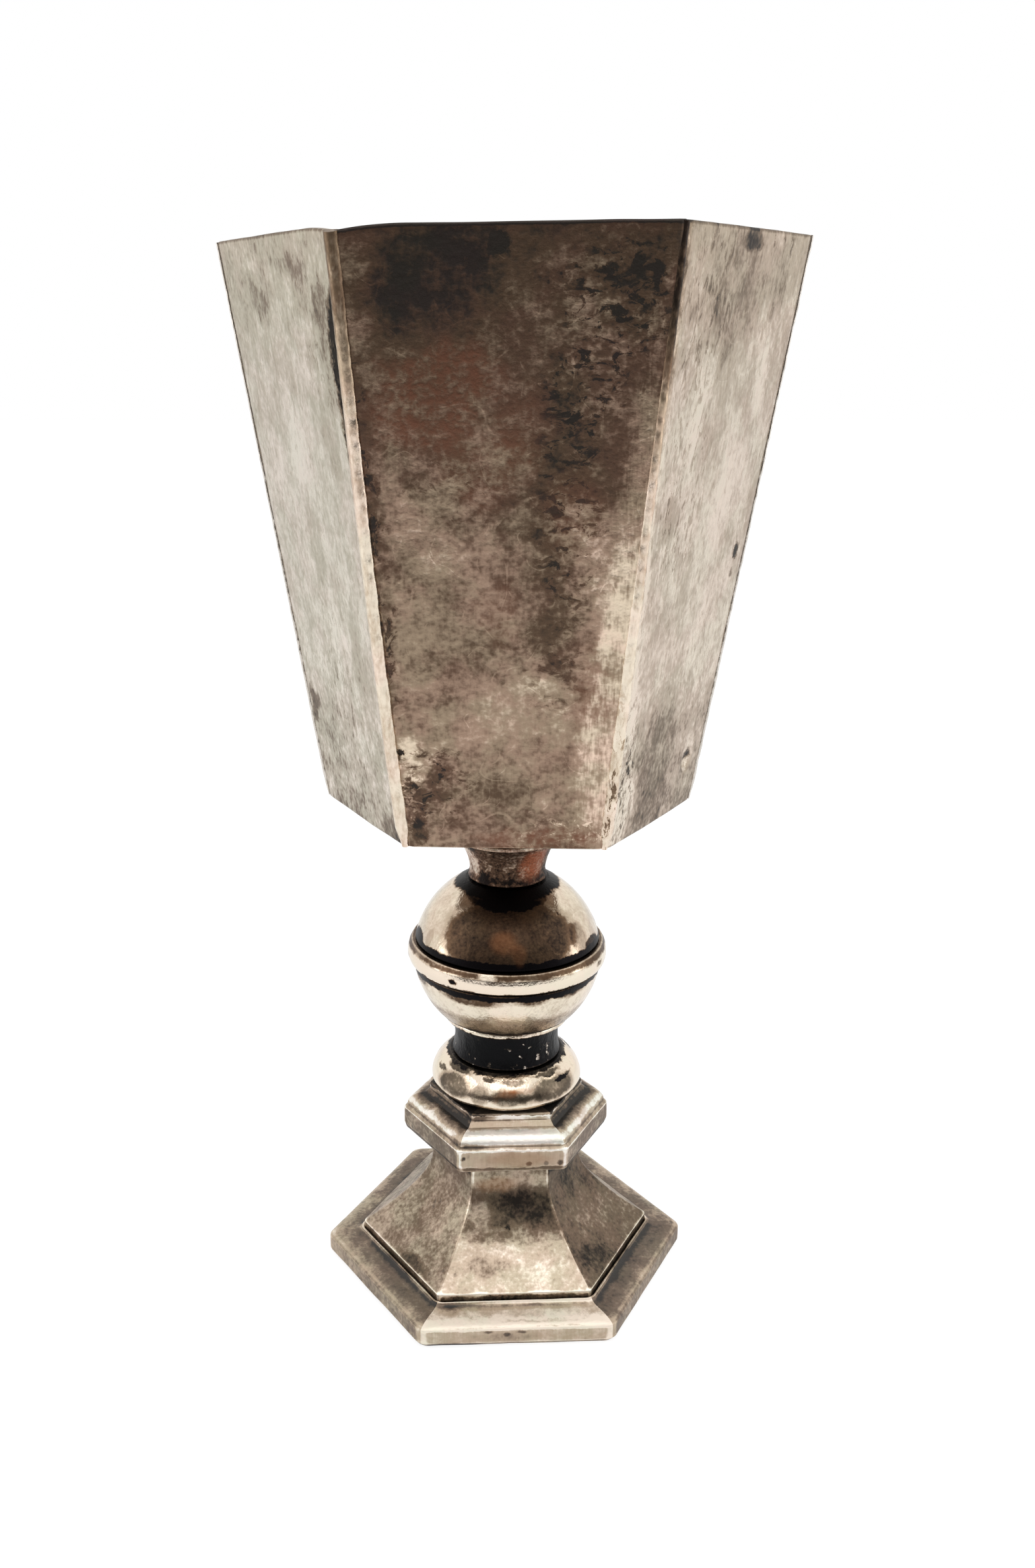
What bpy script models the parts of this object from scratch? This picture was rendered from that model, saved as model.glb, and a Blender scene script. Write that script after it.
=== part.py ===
"""A hexagonal chalice of silver-plated brass: a tapered bowl of six soldered panels, a turned stem and a hollow foot.

Metres, +Z up. The origin is the middle of the plane that the foot rests on, and the bowl's front panel faces -Y.
The stem's pieces are stacked on one tie rod, which screws into a boss under the bowl and is clamped by a nut
inside the foot. Each turned piece has a spigot below and a socket above, so that the stack stays in line.
"""

import math

import bmesh
import bpy

# Shared fits
FIT_GAP = 0.0003  # solder film or seat between two pieces
SPIGOT_RADIUS = 0.0045
SPIGOT_LENGTH = 0.0012

# How the meshes are made
SIDES = 6
ROUND_STEPS = 36
ROD_STEPS = 24
SHARP_ANGLE = math.radians(32)
MERGE_DISTANCE = 0.00001
SAME_BEARING = 0.001  # radians by which the two ends of an arris may differ about Z

# Metals, as (colour, roughness)
BOWL_PLATE = ((0.42, 0.37, 0.33), 0.38)
SOLDER = ((0.60, 0.54, 0.47), 0.30)
BOWL_INSIDE = ((0.45, 0.40, 0.36), 0.40)
NECK_COPPER = ((0.43, 0.31, 0.25), 0.40)
KNOP_PLATE = ((0.62, 0.56, 0.48), 0.17)
BLACKENED = ((0.08, 0.07, 0.06), 0.35)
FOOT_PLATE = ((0.60, 0.54, 0.46), 0.30)
BARE_BRASS = ((0.60, 0.50, 0.30), 0.40)
ROD_STEEL = ((0.50, 0.48, 0.45), 0.35)

PANEL_NAMES = ("front", "front_right", "back_right", "back", "back_left", "front_left")

# Bowl: sheet panels, a floor plate and a boss brazed under it
BOWL_HEIGHT = 0.0900
BOWL_RIM_RADIUS = 0.0460
BOWL_BASE_RADIUS = 0.0312
BOWL_WALL = 0.0015
SEAM_NOTCH = 0.0008  # chamfer that the solder bead lies in, along each panel's face
SEAM_NOTCH_DEPTH = 0.0008
BEAD_HALF_WIDTH = 0.00035
BEAD_HEIGHT = 0.00035
FLOOR_THICKNESS = 0.0015
FLOOR_INSET = 0.0003
FLOOR_CORNER = 0.0004
BOSS_RADIUS = 0.0104
BOSS_HEIGHT = 0.0056
BOSS_HOLE_DEPTH = 0.0042

# Neck
NECK_HEIGHT = 0.0082
NECK_FOOT_RADIUS = 0.0069
NECK_WAIST_RADIUS = 0.0066
NECK_WAIST_HEIGHT = 0.0014
NECK_TOP_RADIUS = 0.0096
NECK_LIP = 0.0007
NECK_CURVE = 1.6  # exponent of the neck's flare

# Knop: two shells, a girdle over their joint, a distance sleeve inside and a bead below
KNOP_RADIUS = 0.0168
KNOP_TOP_RADIUS = 0.0073
KNOP_BOTTOM_RADIUS = 0.0120
KNOP_UPPER_SINK = 0.0019  # how far the upper shell's centre lies below the girdle's middle
KNOP_WALL = 0.0020
KNOP_END_WALL = 0.0026
GIRDLE_RADIUS = 0.0176
GIRDLE_HEIGHT = 0.0038
GIRDLE_WALL = 0.0016
GIRDLE_MOULDING = (  # its outer side, as (depth below the widest radius, height above the middle)
    (0.00072, 0.00190),
    (0.00016, 0.00086),
    (0.0, 0.0),
    (0.0, -0.00076),
    (0.00019, -0.00152),
    (0.00064, -0.00190),
)
SLEEVE_WALL = 0.0017
BEAD_RING_RADIUS = 0.0112
BEAD_RING_HEIGHT = 0.0012

# Waist and round collar
WAIST_HEIGHT = 0.0063
WAIST_END_RADIUS = 0.0097
WAIST_RADIUS = 0.0093
ROUND_COLLAR_RADIUS = 0.01356
ROUND_COLLAR_TOP_RADIUS = 0.0102
ROUND_COLLAR_BOTTOM_RADIUS = 0.0115
ROUND_COLLAR_RISE = 0.0071  # vertical half axis above the widest line
ROUND_COLLAR_DROP = 0.0035  # vertical half axis below it

# Hexagonal collar, measured from its underside
COLLAR_HEIGHT = 0.0094
COLLAR_RADIUS = 0.0189
COLLAR_UNDER_RADIUS = 0.0166  # where its underside meets the foot
COLLAR_EDGE_RADIUS = 0.0185  # of the turned-in lower edge of its band
COLLAR_EDGE_HEIGHT = 0.0004
COLLAR_BAND_FOOT = 0.0015
COLLAR_BAND_TOP = 0.0045
COLLAR_LIP_RADIUS = 0.01405
COLLAR_LIP_HEIGHT = 0.0012
COLLAR_OVOLO_INSET = 0.0006  # step between the band and the ovolo above it
COLLAR_COVE_RADIUS = 0.01513
COLLAR_COVE_HEIGHT = 0.0009
COLLAR_CORNER = 0.0005
KEY_HEIGHT = 0.0015  # how deep the foot's crown goes into the collar

# Foot, turned a little against the bowl
FOOT_TURN = math.radians(5)
FOOT_HEIGHT = 0.0259
FOOT_NECK_RADIUS = 0.01365
FOOT_NECK_HEIGHT = 0.0049
FLARE_RADIUS = 0.0267
FLARE_LIP_HEIGHT = 0.0063
FLARE_BEND_HEIGHT = 0.0155  # height on the neck's line to which the flare's end points
FLARE_STEPS = 9
FLARE_WALL = 0.0016
FLARE_CORNER = 0.0004
CROWN_THICKNESS = 0.0030
PLINTH_RADIUS = 0.0335
PLINTH_FOOT_INSET = 0.0008  # chamfer round its underside
PLINTH_FOOT_HEIGHT = 0.0009
PLINTH_SIDE = 0.0036  # top of its upright side
PLINTH_HEIGHT = 0.0052
PLINTH_RING_RADIUS = 0.0220  # corner of the opening underneath
PLINTH_LEDGE = 0.0033  # where the flare stands
PLINTH_STEP_RADIUS = 0.0293
PLINTH_STEP_HEIGHT = 0.0044
PLINTH_CORNER = 0.0010

# Tie rod, washer and nut
ROD_RADIUS = 0.0025
ROD_CHAMFER = 0.0004
ROD_END = 0.0012  # length of rod below the nut
WASHER_RADIUS = 0.0080
WASHER_THICKNESS = 0.0010
NUT_RADIUS = 0.0046
NUT_THICKNESS = 0.0040
NUT_CORNER = 0.0002

# Worked out from the sizes above
HALF_SIDE = math.pi / SIDES
ACROSS_FLATS = math.cos(HALF_SIDE)
CORNER_GAP = FIT_GAP / ACROSS_FLATS  # the same gap, measured at a hexagon's corner
BORE_RADIUS = ROD_RADIUS + FIT_GAP
SOCKET_RADIUS = SPIGOT_RADIUS + FIT_GAP
SOCKET_DEPTH = SPIGOT_LENGTH + FIT_GAP

collar_z = FOOT_HEIGHT
crown_top = collar_z + KEY_HEIGHT - FIT_GAP
crown_under = crown_top - CROWN_THICKNESS
round_collar_z = collar_z + COLLAR_HEIGHT + FIT_GAP


def half_ellipse_height(radius, rise, at):
    """Height above its widest line at which an ellipse has narrowed to the radius at."""
    return rise * math.sqrt(1 - (at / radius) ** 2)


round_collar_drop = half_ellipse_height(ROUND_COLLAR_RADIUS, ROUND_COLLAR_DROP, ROUND_COLLAR_BOTTOM_RADIUS)
round_collar_rise = half_ellipse_height(ROUND_COLLAR_RADIUS, ROUND_COLLAR_RISE, ROUND_COLLAR_TOP_RADIUS)
waist_z = round_collar_z + round_collar_drop + round_collar_rise + FIT_GAP
bead_ring_z = waist_z + WAIST_HEIGHT + FIT_GAP
knop_z = bead_ring_z + BEAD_RING_HEIGHT + FIT_GAP
girdle_z = knop_z + half_ellipse_height(KNOP_RADIUS, KNOP_RADIUS, KNOP_BOTTOM_RADIUS)
knop_upper_centre = girdle_z - KNOP_UPPER_SINK
knop_top = knop_upper_centre + half_ellipse_height(KNOP_RADIUS, KNOP_RADIUS, KNOP_TOP_RADIUS)
neck_z = knop_top + FIT_GAP
boss_z = neck_z + NECK_HEIGHT + FIT_GAP
boss_top = boss_z + BOSS_HEIGHT
floor_z = boss_top + FIT_GAP
bowl_z = floor_z - FLOOR_INSET
rim_z = bowl_z + BOWL_HEIGHT

for old in list(bpy.data.objects):
    bpy.data.objects.remove(old, do_unlink=True)

parts = bpy.data.collections.new("chalice")
cutters = bpy.data.collections.new("cutters")
bpy.context.scene.collection.children.link(parts)
bpy.context.scene.collection.children.link(cutters)
stand = bpy.data.objects.new("chalice_base", None)
parts.objects.link(stand)


def metal_material(name, metal):
    colour, roughness = metal
    made = bpy.data.materials.new(name)
    made.use_nodes = True
    shader = made.node_tree.nodes["Principled BSDF"]
    shader.inputs["Base Color"].default_value = (*colour, 1)
    shader.inputs["Roughness"].default_value = roughness
    shader.inputs["Metallic"].default_value = 1
    return made


def new_object(name, mesh):
    made = bpy.data.objects.new(name, mesh)
    parts.objects.link(made)
    return made


def add_part(name, mesh, metal, z=0.0, turn=0.0):
    """A finished piece, shaded smooth except at its sharp edges, and placed under the chalice's empty."""
    mesh.name = name
    mesh.shade_smooth()
    mesh.set_sharp_from_angle(angle=SHARP_ANGLE)
    mesh.materials.append(metal_material(name, metal))
    piece = new_object(name, mesh)
    piece.location.z = z
    piece.rotation_euler.z = turn
    piece.parent = stand
    return piece


def face_out(mesh):
    bm = bmesh.new()
    bm.from_mesh(mesh)
    bmesh.ops.recalc_face_normals(bm, faces=bm.faces)
    bm.to_mesh(mesh)
    bm.free()
    return mesh


def turned_mesh(profile, steps=ROUND_STEPS):
    """A profile of (radius, height) points turned about Z. It closes on itself, or else on the axis."""
    bm = bmesh.new()
    points = [bm.verts.new((radius, 0, height)) for radius, height in profile]
    on_axis = profile[0][0] == 0 and profile[-1][0] == 0
    for first, second in zip(points, points[1:] + points[: not on_axis]):
        bm.edges.new((first, second))
    outline = bpy.data.meshes.new("outline")
    bm.to_mesh(outline)
    bm.free()
    lathe = new_object("lathe", outline)
    screw = lathe.modifiers.new("turn", "SCREW")
    screw.steps = screw.render_steps = steps
    screw.use_merge_vertices = True
    screw.merge_threshold = MERGE_DISTANCE
    graph = bpy.context.evaluated_depsgraph_get()
    made = bpy.data.meshes.new_from_object(lathe.evaluated_get(graph))
    bpy.data.objects.remove(lathe)
    return face_out(made)


def is_corner_edge(edge):
    """True for an edge that runs along a corner of a hexagonal piece, from one level to another."""
    first, second = (vert.co for vert in edge.verts)
    return abs(first.xy.angle_signed(second.xy)) < SAME_BEARING


def hexagonal_mesh(profile, corner):
    """A profile turned in six steps, so that its radii are those of the corners, which are then rounded."""
    made = turned_mesh(profile, SIDES)
    bm = bmesh.new()
    bm.from_mesh(made)
    bmesh.ops.dissolve_verts(bm, verts=[vert for vert in bm.verts if vert.co.xy.length < MERGE_DISTANCE])
    arrises = [edge for edge in bm.edges if is_corner_edge(edge)]
    bmesh.ops.bevel(bm, geom=arrises, offset=corner, segments=2, profile=0.5, affect="EDGES")
    bm.to_mesh(made)
    bm.free()
    return made


def round_cut(piece, radius, low, high):
    """Cuts a round hole about Z from a piece, between two heights in the piece's own frame."""
    bpy.ops.mesh.primitive_cylinder_add(vertices=ROUND_STEPS, radius=radius, depth=high - low)
    cutter = bpy.context.object
    cutter.name = f"{piece.name}_cutter_{len(cutters.objects)}"
    for holder in list(cutter.users_collection):
        holder.objects.unlink(cutter)
    cutters.objects.link(cutter)
    cutter.location = (0, 0, piece.location.z + (low + high) / 2)
    cutter.hide_render = True
    cutter.display_type = "WIRE"
    cut = piece.modifiers.new("bore", "BOOLEAN")
    cut.operation = "DIFFERENCE"
    cut.object = cutter


def stacked(outer, height):
    """The closed profile of a stem piece: the socket above, its outer points, the spigot below, and the bore."""
    return [
        (BORE_RADIUS, height - SOCKET_DEPTH),
        (SOCKET_RADIUS, height - SOCKET_DEPTH),
        (SOCKET_RADIUS, height),
        *outer,
        (SPIGOT_RADIUS, 0),
        (SPIGOT_RADIUS, -SPIGOT_LENGTH),
        (BORE_RADIUS, -SPIGOT_LENGTH),
    ]


def superellipse(start, end, power, count):
    """Points of a hollow quarter curve that leaves start upright and reaches end level."""
    points = []
    for i in range(count + 1):
        angle = math.pi / 2 * i / count
        along = math.sin(angle) ** (2 / power)
        out = 1 - (1 - along**power) ** (1 / power)
        points.append((start[0] + (end[0] - start[0]) * out, start[1] + (end[1] - start[1]) * along))
    return points


def bent_line(start, bend, end, count):
    """Points of a curve that leaves start towards bend and reaches end from there."""
    points = []
    for i in range(count + 1):
        share = i / count
        weights = ((1 - share) ** 2, 2 * share * (1 - share), share**2)
        points.append(tuple(sum(w * p[n] for w, p in zip(weights, (start, bend, end))) for n in range(2)))
    return points


# Bowl panels: flat tapered plates, mitred at the corners and notched for the solder beads

def bowl_radius(z):
    return BOWL_BASE_RADIUS + (BOWL_RIM_RADIUS - BOWL_BASE_RADIUS) * (z - bowl_z) / BOWL_HEIGHT


slope = (BOWL_RIM_RADIUS - BOWL_BASE_RADIUS) * ACROSS_FLATS / BOWL_HEIGHT
level_wall = BOWL_WALL * math.hypot(1, slope)  # the wall as a level cut shows it


def panel_section(z):
    """Half of a panel's level section, as (sideways, outwards) points from the outer face to the inner."""
    corner = bowl_radius(z)
    face = corner * ACROSS_FLATS
    mitre = FIT_GAP / 2 / ACROSS_FLATS

    def on_mitre(depth):
        return (face - depth) * math.tan(HALF_SIDE) - mitre

    return [
        (corner / 2 - SEAM_NOTCH, face),
        (on_mitre(SEAM_NOTCH_DEPTH), face - SEAM_NOTCH_DEPTH),
        (on_mitre(level_wall), face - level_wall),
    ]


def lofted_mesh(sections):
    """A closed solid from two level sections, each a list of (x, y, z) points in the same order."""
    bm = bmesh.new()
    rings = [[bm.verts.new(point) for point in section] for section in sections]
    loops = []
    for ring in rings:
        loops.append([bm.edges.new(pair) for pair in zip(ring, ring[1:] + ring[:1])])
        bm.faces.new(ring)
    bmesh.ops.bridge_loops(bm, edges=loops[0] + loops[1])
    bmesh.ops.recalc_face_normals(bm, faces=bm.faces)
    made = bpy.data.meshes.new("loft")
    bm.to_mesh(made)
    bm.free()
    return made


def panel_mesh():
    sections = []
    for z in (bowl_z, rim_z):
        half = panel_section(z)
        outline = half + [(-sideways, outwards) for sideways, outwards in reversed(half)]
        sections.append([(sideways, -outwards, z) for sideways, outwards in outline])
    return lofted_mesh(sections)


for number, place in enumerate(PANEL_NAMES):
    add_part(f"bowl_panel_{place}", panel_mesh(), BOWL_PLATE, turn=number * 2 * HALF_SIDE)


# Solder beads along the bowl's corners, each in the notch between two panels

def bead_section(z):
    """The bead's level section, as (sideways, outwards) points about the corner line."""
    bottom = SEAM_NOTCH_DEPTH / ACROSS_FLATS - FIT_GAP / 2
    side = (BEAD_HALF_WIDTH, -BEAD_HALF_WIDTH * ACROSS_FLATS)
    shoulder = (BEAD_HALF_WIDTH * ACROSS_FLATS, BEAD_HEIGHT / 2)
    right = [side, shoulder]
    outline = [(0, -bottom), *right, (0, BEAD_HEIGHT), *[(-a, b) for a, b in reversed(right)]]
    return [(bowl_radius(z) + outwards, sideways, z) for sideways, outwards in outline]


for number in range(SIDES):
    bead = lofted_mesh([bead_section(bowl_z), bead_section(rim_z)])
    add_part(f"corner_solder_{number + 1}", bead, SOLDER, turn=(number - 1) * 2 * HALF_SIDE)


# Bowl floor: a hexagonal plate soldered inside the panels' lower edge

def floor_radius(z):
    return bowl_radius(z) - (level_wall + FIT_GAP) / ACROSS_FLATS


floor_top = floor_z + FLOOR_THICKNESS
floor_profile = [(0, floor_top), (floor_radius(floor_top), floor_top), (floor_radius(floor_z), floor_z), (0, floor_z)]
floor_mesh = hexagonal_mesh([(radius, z - floor_z) for radius, z in floor_profile], FLOOR_CORNER)
add_part("bowl_floor", floor_mesh, BOWL_INSIDE, z=floor_z)

# Bowl boss: brazed under the floor, with the blind hole that the tie rod screws into
boss_profile = [
    (0, BOSS_HEIGHT),
    (BOSS_RADIUS, BOSS_HEIGHT),
    (BOSS_RADIUS, 0),
    (SPIGOT_RADIUS, 0),
    (SPIGOT_RADIUS, -SPIGOT_LENGTH),
    (BORE_RADIUS, -SPIGOT_LENGTH),
    (BORE_RADIUS, BOSS_HOLE_DEPTH),
    (0, BOSS_HOLE_DEPTH),
]
add_part("bowl_boss", turned_mesh(boss_profile), NECK_COPPER, z=boss_z)

# Neck collar: a hollow curve under the bowl
neck_curve = superellipse(
    (NECK_WAIST_RADIUS, NECK_WAIST_HEIGHT), (NECK_TOP_RADIUS, NECK_HEIGHT - NECK_LIP), NECK_CURVE, 8
)
neck_outer = [(NECK_TOP_RADIUS, NECK_HEIGHT), *reversed(neck_curve), (NECK_FOOT_RADIUS, 0)]
add_part("neck_collar", turned_mesh(stacked(neck_outer, NECK_HEIGHT)), NECK_COPPER, z=neck_z)


# Knop shells: hollow caps of one radius, whose rims meet inside the girdle

def cap_points(radius, centre, low, high, count=9):
    """Points of a circle about (0, centre), from the height high down to the height low."""
    first = math.asin((high - centre) / radius)
    last = math.asin((low - centre) / radius)
    angles = [first + (last - first) * i / count for i in range(count + 1)]
    return [(radius * math.cos(angle), centre + radius * math.sin(angle)) for angle in angles]


girdle_bore = GIRDLE_RADIUS - GIRDLE_WALL
rim_radius = girdle_bore - FIT_GAP
rim_half_gap = FIT_GAP / 2
shoulder_height = GIRDLE_HEIGHT / 2 + FIT_GAP
inner_rim_radius = rim_radius - KNOP_WALL
hollow_radius = KNOP_RADIUS - KNOP_WALL


def upper_shell_profile():
    """Heights above the girdle's middle."""
    centre = -KNOP_UPPER_SINK
    top = knop_top - girdle_z
    ceiling = top - KNOP_END_WALL
    outside = cap_points(KNOP_RADIUS, centre, shoulder_height, top)
    spring = centre + math.sqrt(max(hollow_radius**2 - inner_rim_radius**2, 0))
    inside = cap_points(hollow_radius, centre, max(spring, shoulder_height), ceiling)
    return [
        (BORE_RADIUS, top - SOCKET_DEPTH),
        (SOCKET_RADIUS, top - SOCKET_DEPTH),
        (SOCKET_RADIUS, top),
        *outside,
        (rim_radius, shoulder_height),
        (rim_radius, rim_half_gap),
        (inner_rim_radius, rim_half_gap),
        *reversed(inside),
        (BORE_RADIUS, ceiling),
    ]


def lower_shell_profile():
    """Heights above the girdle's middle."""
    bottom = knop_z - girdle_z
    spigot_end = bottom - FIT_GAP - BEAD_RING_HEIGHT - SPIGOT_LENGTH
    outside = cap_points(KNOP_RADIUS, 0, bottom, -shoulder_height)
    spring = -math.sqrt(max(hollow_radius**2 - inner_rim_radius**2, 0))
    inside = cap_points(hollow_radius, 0, bottom + KNOP_END_WALL, min(spring, -shoulder_height))
    return [
        (inner_rim_radius, -rim_half_gap),
        (rim_radius, -rim_half_gap),
        (rim_radius, -shoulder_height),
        *outside,
        (SPIGOT_RADIUS, bottom),
        (SPIGOT_RADIUS, spigot_end),
        (BORE_RADIUS, spigot_end),
        (BORE_RADIUS, bottom + KNOP_END_WALL),
        *reversed(inside),
    ]


add_part("knop_upper", turned_mesh(upper_shell_profile()), KNOP_PLATE, z=girdle_z)
add_part("knop_lower", turned_mesh(lower_shell_profile()), KNOP_PLATE, z=girdle_z)

# Knop girdle: the band over the joint, chamfered above
girdle_profile = [
    (girdle_bore, GIRDLE_HEIGHT / 2),
    *[(GIRDLE_RADIUS - depth, height) for depth, height in GIRDLE_MOULDING],
    (girdle_bore, -GIRDLE_HEIGHT / 2),
]
add_part("knop_girdle", turned_mesh(girdle_profile), KNOP_PLATE, z=girdle_z)

# Knop sleeve: a distance tube on the rod, which carries the clamping load through the hollow knop
sleeve_z = knop_z + KNOP_END_WALL + FIT_GAP
sleeve_height = knop_top - KNOP_END_WALL - FIT_GAP - sleeve_z
sleeve_outer = BORE_RADIUS + SLEEVE_WALL
sleeve_profile = [
    (BORE_RADIUS, sleeve_height),
    (sleeve_outer, sleeve_height),
    (sleeve_outer, 0),
    (BORE_RADIUS, 0),
]
add_part("knop_sleeve", turned_mesh(sleeve_profile), BARE_BRASS, z=sleeve_z)

# Knop bead: a thin ring below the knop, with a half-round edge
bead_radius = BEAD_RING_HEIGHT / 2
bead_ring_profile = [(SOCKET_RADIUS, BEAD_RING_HEIGHT)]
for step in range(5):
    angle = math.pi / 2 - math.pi * step / 4
    reach = BEAD_RING_RADIUS - bead_radius + bead_radius * math.cos(angle)
    bead_ring_profile.append((reach, bead_radius + bead_radius * math.sin(angle)))
bead_ring_profile.append((SOCKET_RADIUS, 0))
add_part("knop_bead", turned_mesh(bead_ring_profile), KNOP_PLATE, z=bead_ring_z)


# Waist spool: the dark hollow-sided drum between the knop and the round collar

def waist_points(count=6):
    points = []
    for i in range(count + 1):
        share = 1 - 2 * i / count
        radius = WAIST_RADIUS + (WAIST_END_RADIUS - WAIST_RADIUS) * share**2
        points.append((radius, WAIST_HEIGHT * (1 + share) / 2))
    return points


add_part("waist_spool", turned_mesh(stacked(waist_points(), WAIST_HEIGHT)), BLACKENED, z=waist_z)


# Round collar: a full, flattened moulding, with a rim round the waist's foot

def round_collar_points(count=7):
    points = []
    top_angle = math.acos(ROUND_COLLAR_TOP_RADIUS / ROUND_COLLAR_RADIUS)
    bottom_angle = math.acos(ROUND_COLLAR_BOTTOM_RADIUS / ROUND_COLLAR_RADIUS)
    for i in range(count + 1):
        angle = top_angle * (1 - i / count)
        height = round_collar_drop + ROUND_COLLAR_RISE * math.sin(angle)
        points.append((ROUND_COLLAR_RADIUS * math.cos(angle), height))
    for i in range(1, 5):
        angle = bottom_angle * i / 4
        height = round_collar_drop - ROUND_COLLAR_DROP * math.sin(angle)
        points.append((ROUND_COLLAR_RADIUS * math.cos(angle), height))
    return points


round_collar_height = round_collar_rise + round_collar_drop
add_part("round_collar", turned_mesh(stacked(round_collar_points(), round_collar_height)), KNOP_PLATE, z=round_collar_z)


# Hexagonal collar: lip, cove, ovolo and band, with a sloping underside and a recess that keys it to the foot

def collar_profile():
    lip_under = COLLAR_HEIGHT - COLLAR_LIP_HEIGHT
    ovolo_radius = COLLAR_RADIUS - COLLAR_OVOLO_INSET
    ovolo_top = lip_under - COLLAR_COVE_HEIGHT
    ovolo_low = COLLAR_BAND_TOP + COLLAR_OVOLO_INSET
    ovolo = []
    for i in range(1, 6):
        angle = math.pi / 2 * i / 5
        radius = COLLAR_COVE_RADIUS + (ovolo_radius - COLLAR_COVE_RADIUS) * math.sin(angle)
        ovolo.append((radius, ovolo_low + (ovolo_top - ovolo_low) * math.cos(angle)))
    key_radius = FOOT_NECK_RADIUS + CORNER_GAP
    return [
        (0, COLLAR_HEIGHT),
        (COLLAR_LIP_RADIUS, COLLAR_HEIGHT),
        (COLLAR_LIP_RADIUS, lip_under),
        (COLLAR_COVE_RADIUS, ovolo_top),
        *ovolo,
        (COLLAR_RADIUS, COLLAR_BAND_TOP),
        (COLLAR_RADIUS, COLLAR_BAND_FOOT),
        (COLLAR_EDGE_RADIUS, COLLAR_EDGE_HEIGHT),
        (COLLAR_UNDER_RADIUS, 0),
        (key_radius, 0),
        (key_radius, KEY_HEIGHT),
        (0, KEY_HEIGHT),
    ]


collar_mesh = hexagonal_mesh(collar_profile(), COLLAR_CORNER)
hex_collar = add_part("hex_collar", collar_mesh, FOOT_PLATE, z=collar_z, turn=FOOT_TURN)
round_cut(hex_collar, BORE_RADIUS, -KEY_HEIGHT, COLLAR_HEIGHT * 2)
round_cut(hex_collar, SOCKET_RADIUS, COLLAR_HEIGHT - SOCKET_DEPTH, COLLAR_HEIGHT * 2)


# Foot flare: a hollow casting with concave sides. Its crown keys into the collar, and its skirt stands in the plinth

def flare_profile():
    neck_low = FOOT_HEIGHT - FOOT_NECK_HEIGHT
    neck_end, bend = (FOOT_NECK_RADIUS, neck_low), (FOOT_NECK_RADIUS, FLARE_BEND_HEIGHT)
    outside = bent_line(neck_end, bend, (FLARE_RADIUS, FLARE_LIP_HEIGHT), FLARE_STEPS)
    inside = [(radius - FLARE_WALL, z - FLARE_WALL) for radius, z in outside]
    skirt_z = PLINTH_LEDGE + FIT_GAP
    return [
        (0, crown_top),
        (FOOT_NECK_RADIUS, crown_top),
        *outside,
        (FLARE_RADIUS, skirt_z),
        (FLARE_RADIUS - FLARE_WALL, skirt_z),
        *reversed(inside),
        (FOOT_NECK_RADIUS - FLARE_WALL, crown_under),
        (0, crown_under),
    ]


flare_mesh = hexagonal_mesh(flare_profile(), FLARE_CORNER)
foot_flare = add_part("foot_flare", flare_mesh, FOOT_PLATE, turn=FOOT_TURN)
round_cut(foot_flare, BORE_RADIUS, crown_under - FIT_GAP, crown_top * 2)


# Foot plinth: the moulded base ring, with the ledge that the flare's skirt stands on

def plinth_profile():
    rebate = FLARE_RADIUS + CORNER_GAP
    edge = rebate + CORNER_GAP
    cavetto = superellipse((edge, PLINTH_HEIGHT), (PLINTH_STEP_RADIUS, PLINTH_STEP_HEIGHT), 2, 3)
    ovolo = []
    for i in range(1, 5):
        angle = math.pi / 2 * i / 4
        radius = PLINTH_STEP_RADIUS + (PLINTH_RADIUS - PLINTH_STEP_RADIUS) * math.sin(angle)
        ovolo.append((radius, PLINTH_SIDE + (PLINTH_STEP_HEIGHT - PLINTH_SIDE) * math.cos(angle)))
    return [
        (rebate, PLINTH_HEIGHT),
        *cavetto,
        *ovolo,
        (PLINTH_RADIUS, PLINTH_FOOT_HEIGHT),
        (PLINTH_RADIUS - PLINTH_FOOT_INSET, 0),
        (PLINTH_RING_RADIUS, 0),
        (PLINTH_RING_RADIUS, PLINTH_LEDGE),
        (rebate, PLINTH_LEDGE),
    ]


add_part("foot_plinth", hexagonal_mesh(plinth_profile(), PLINTH_CORNER), FOOT_PLATE, turn=FOOT_TURN)

# Tie rod, washer and nut: they clamp the foot and the stem to the boss
washer_z = crown_under - FIT_GAP - WASHER_THICKNESS
nut_z = washer_z - FIT_GAP - NUT_THICKNESS
rod_z = nut_z - ROD_END
rod_height = boss_z + BOSS_HOLE_DEPTH - FIT_GAP - rod_z
rod_profile = [
    (0, rod_height),
    (ROD_RADIUS - ROD_CHAMFER, rod_height),
    (ROD_RADIUS, rod_height - ROD_CHAMFER),
    (ROD_RADIUS, ROD_CHAMFER),
    (ROD_RADIUS - ROD_CHAMFER, 0),
    (0, 0),
]
add_part("tie_rod", turned_mesh(rod_profile, ROD_STEPS), ROD_STEEL, z=rod_z)

washer_profile = [
    (BORE_RADIUS, WASHER_THICKNESS),
    (WASHER_RADIUS, WASHER_THICKNESS),
    (WASHER_RADIUS, 0),
    (BORE_RADIUS, 0),
]
add_part("clamp_washer", turned_mesh(washer_profile), BARE_BRASS, z=washer_z)

nut_profile = [(0, NUT_THICKNESS), (NUT_RADIUS, NUT_THICKNESS), (NUT_RADIUS, 0), (0, 0)]
clamp_nut = add_part("clamp_nut", hexagonal_mesh(nut_profile, NUT_CORNER), BARE_BRASS, z=nut_z, turn=FOOT_TURN)
round_cut(clamp_nut, BORE_RADIUS, -NUT_THICKNESS, NUT_THICKNESS * 2)
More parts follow.
